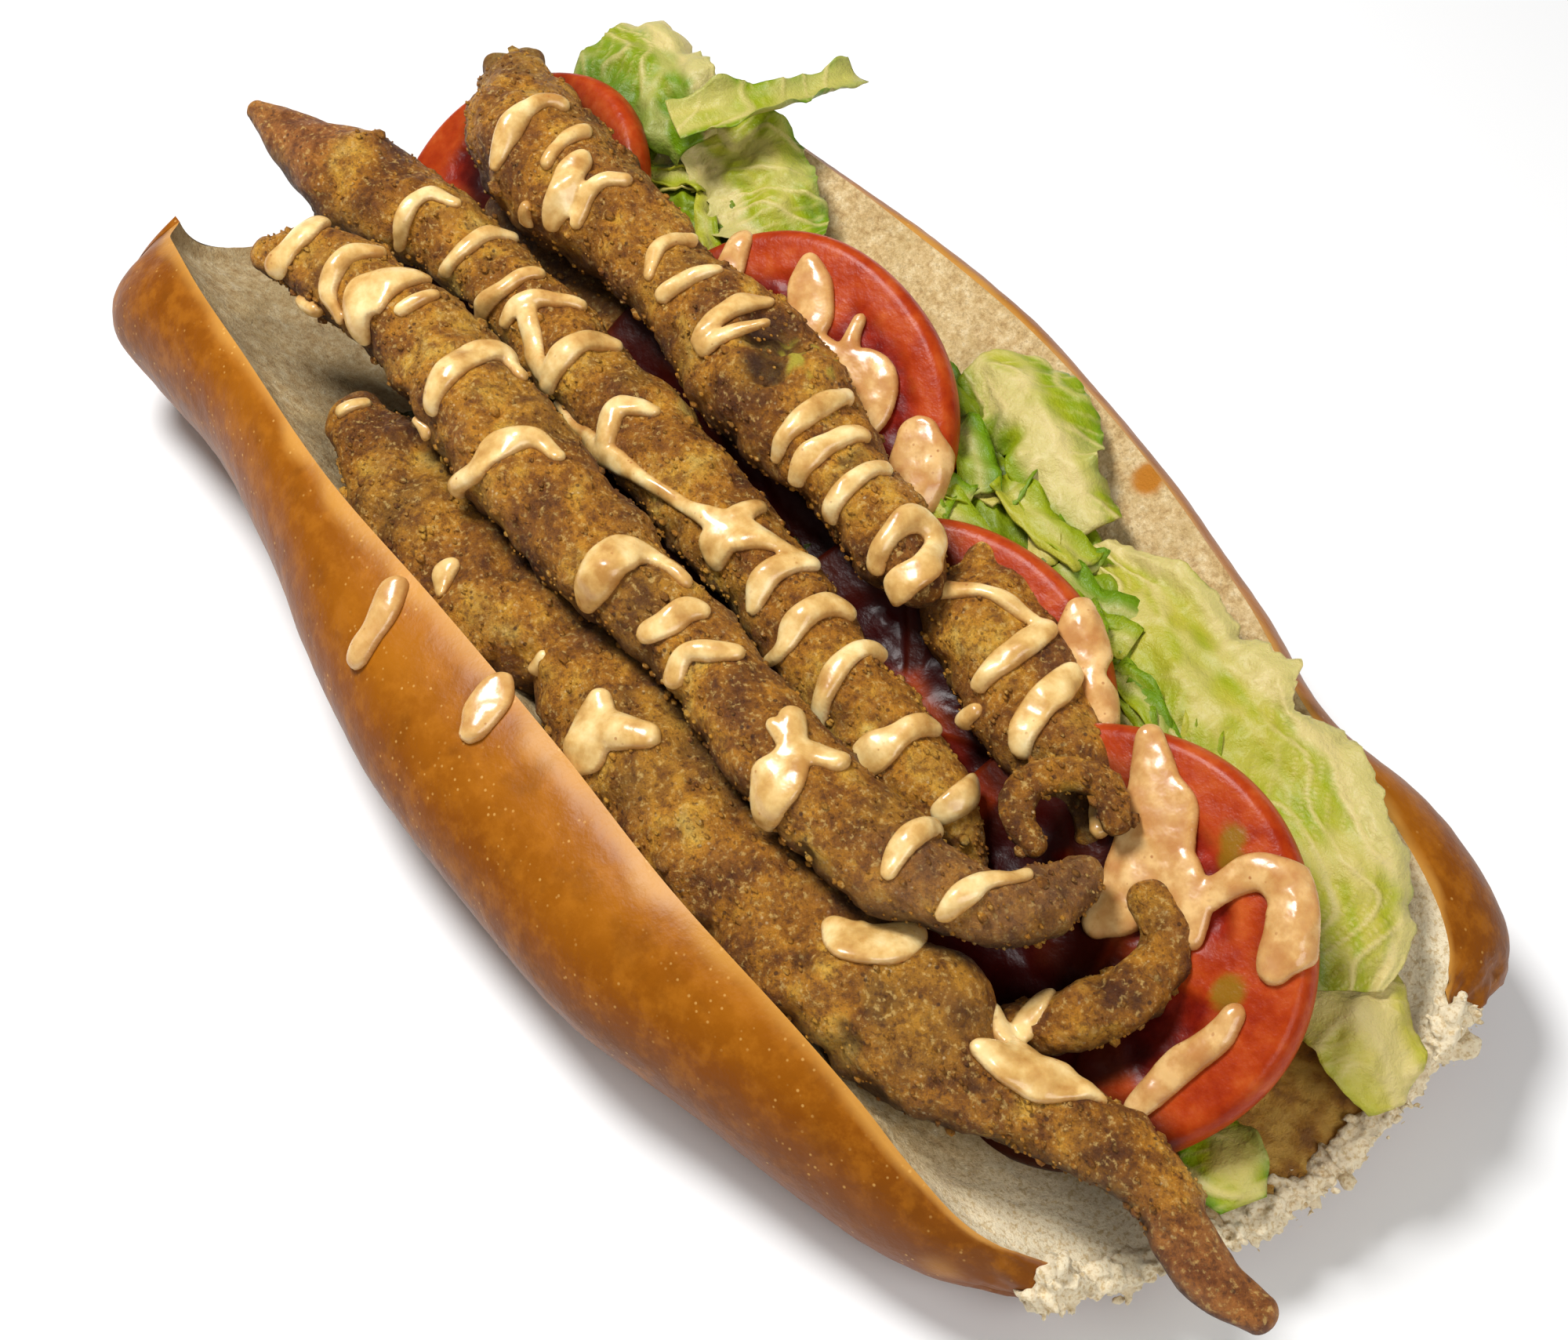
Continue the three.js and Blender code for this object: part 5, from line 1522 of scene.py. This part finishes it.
def add_shreds(heap, stations, bed_y, bed_z):
    """Thin curled shreds over the heap, drawn at random from a fixed seed."""
    chance = np.random.default_rng(SHRED_SEED)
    v = np.linspace(-1, 1, 7)[None]
    for number in range(SHREDS):
        i = chance.integers(3, len(stations) - 3)
        j = chance.integers(12, bed_y.shape[1] - 5)
        length, half = chance.uniform(14, 30), chance.uniform(2.2, 4.6)
        heading, bend = chance.uniform(-0.9, 0.9), chance.uniform(-0.03, 0.03)
        lift = chance.uniform(-0.8, 1.2)
        t = np.linspace(-0.5, 0.5, int(length / 1.4))[:, None] * length
        turn = heading + bend * t
        x = stations[i] + t * np.cos(turn) - v * half * np.sin(turn)
        x = np.clip(x, stations[0] + 2, stations[-1] - 2)
        y = bed_y[i, j] + t * np.sin(turn) + v * half * np.cos(turn)
        curl = chance.uniform(0.3, 1.8) * v**2 + 0.9 * np.sin(t * 0.5 + number) * v
        middle = slanted(x, y, surface_height(stations, bed_y, bed_z, x, y) + lift + curl)
        green, rib = np.clip(chance.uniform(0.1, 0.9) + 0.2 * v, 0, 1), np.clip(0.5 - np.abs(v), 0, 1)
        add_sheet(heap, middle, np.array([0, 0, SHRED_THICK]), green=green, rib=rib)


def surface_height(stations, bed_y, bed_z, x, y):
    """The heap's height at any place, read from its grid."""
    row = np.clip(np.interp(x, stations, np.arange(len(stations))), 0, len(stations) - 1.001)
    i = row.astype(int)
    heights = []
    for station in (i, i + 1):
        low, high = bed_y[station, 0], bed_y[station, -1]
        column = np.clip((y - low) / (high - low) * (bed_y.shape[1] - 1), 0, bed_y.shape[1] - 1.001)
        j = column.astype(int)
        part = column - j
        heights.append(bed_z[station, j] * (1 - part) + bed_z[station, j + 1] * part)
    return heights[0] * (1 - (row - i)) + heights[1] * (row - i)


# Camera, light and floor
TARGET = Vector(np.array([18.0, -6.0, 30.0]) * MM)
CAMERA = dict(azimuth=57, elevation=53, distance=0.5)
CAMERA_LENS = 59.5
SENSOR_WIDTH = 36
LAMPS = {
    "key": dict(place=dict(azimuth=-66, elevation=64, distance=0.9), size=0.3, power=8.2),
    "fill": dict(place=dict(azimuth=88, elevation=42, distance=1.1), size=0.7, power=5.4),
}
SKY_COLOUR = (1.0, 0.99, 0.97, 1)
SKY_STRENGTH = 0.19
FLOOR_REACH = 3.0
FLOOR_DROP = 0.0005
FLOOR_GREYS = (0.9, 0.92)


def aimed(holder, name, azimuth, elevation, distance):
    """An object that looks at the sandwich from one side."""
    a, e = math.radians(azimuth), math.radians(elevation)
    back = Vector((math.sin(a) * math.cos(e), -math.cos(a) * math.cos(e), math.sin(e)))
    made = bpy.data.objects.new(name, holder)
    made.location = TARGET + back * distance
    made.rotation_euler = back.to_track_quat("Z", "Y").to_euler()
    bpy.context.scene.collection.objects.link(made)
    return made


def add_camera():
    lens = bpy.data.cameras.new("camera")
    lens.lens = CAMERA_LENS
    lens.sensor_width = SENSOR_WIDTH
    lens.clip_start = 0.01
    bpy.context.scene.camera = aimed(lens, "camera", **CAMERA)


def add_floor():
    mesh = bpy.data.meshes.new("floor")
    corners = [(x * FLOOR_REACH, y * FLOOR_REACH, 0) for x, y in ((-1, -1), (1, -1), (1, 1), (-1, 1))]
    mesh.from_pydata(corners, [], [(0, 1, 2, 3)])
    finish = Finish("floor", Roughness=0.8)
    dark, light = ((grey, grey, grey, 1) for grey in FLOOR_GREYS)
    finish.start(finish.noise(400, 1), (0.3, dark), (0.7, light))
    mesh.materials.append(finish.finished())
    floor = bpy.data.objects.new("floor", mesh)
    floor.location.z = -FLOOR_DROP
    bpy.context.scene.collection.objects.link(floor)


def add_light():
    world = bpy.data.worlds.new("studio")
    world.use_nodes = True
    background = world.node_tree.nodes["Background"]
    background.inputs["Color"].default_value = SKY_COLOUR
    background.inputs["Strength"].default_value = SKY_STRENGTH
    bpy.context.scene.world = world
    for name, row in LAMPS.items():
        lamp = bpy.data.lights.new(name, "AREA")
        lamp.shape = "DISK"
        lamp.size = row["size"]
        lamp.energy = row["power"]
        aimed(lamp, name, **row["place"])
    bpy.context.scene.view_settings.view_transform = "Standard"


# Assembly
crust, crumb, fish = crust_finish(), crumb_finish(), fish_finish()
sauce, tomato, lettuce = sauce_finish(), tomato_finish(), lettuce_finish()
make_crust(crust)
make_crumb(crumb)
make_tufts(crumb)
for strip_name in STRIPS:
    make_strip(strip_name, fish)
make_grains(fish)
make_sauce("fish_sauce", sauce, 0.0, [
    (StripSkin(name), bends, number + 3 * len(name))
    for name, row in STRIPS.items() for number, bends in enumerate(row.get("trails", ()))
])
for slice_number, slice_name in enumerate(SLICES):
    make_slice(slice_name, slice_number, tomato)
make_sauce("tomato_sauce", sauce, 0.85, [
    (SliceSkin(row), bends, 5 * number + line)
    for number, row in enumerate(SLICES.values()) for line, bends in enumerate(row.get("trails", ()))
])
make_sauce("crust_sauce", sauce, 0.5, [
    (CrustSkin(), bends, number) for number, bends in enumerate(CRUST_DRIPS)
])
for leaf_number, leaf_name in enumerate(LEAVES):
    make_leaf(leaf_name, leaf_number, lettuce)
make_bed(lettuce)
add_camera()
add_floor()
add_light()
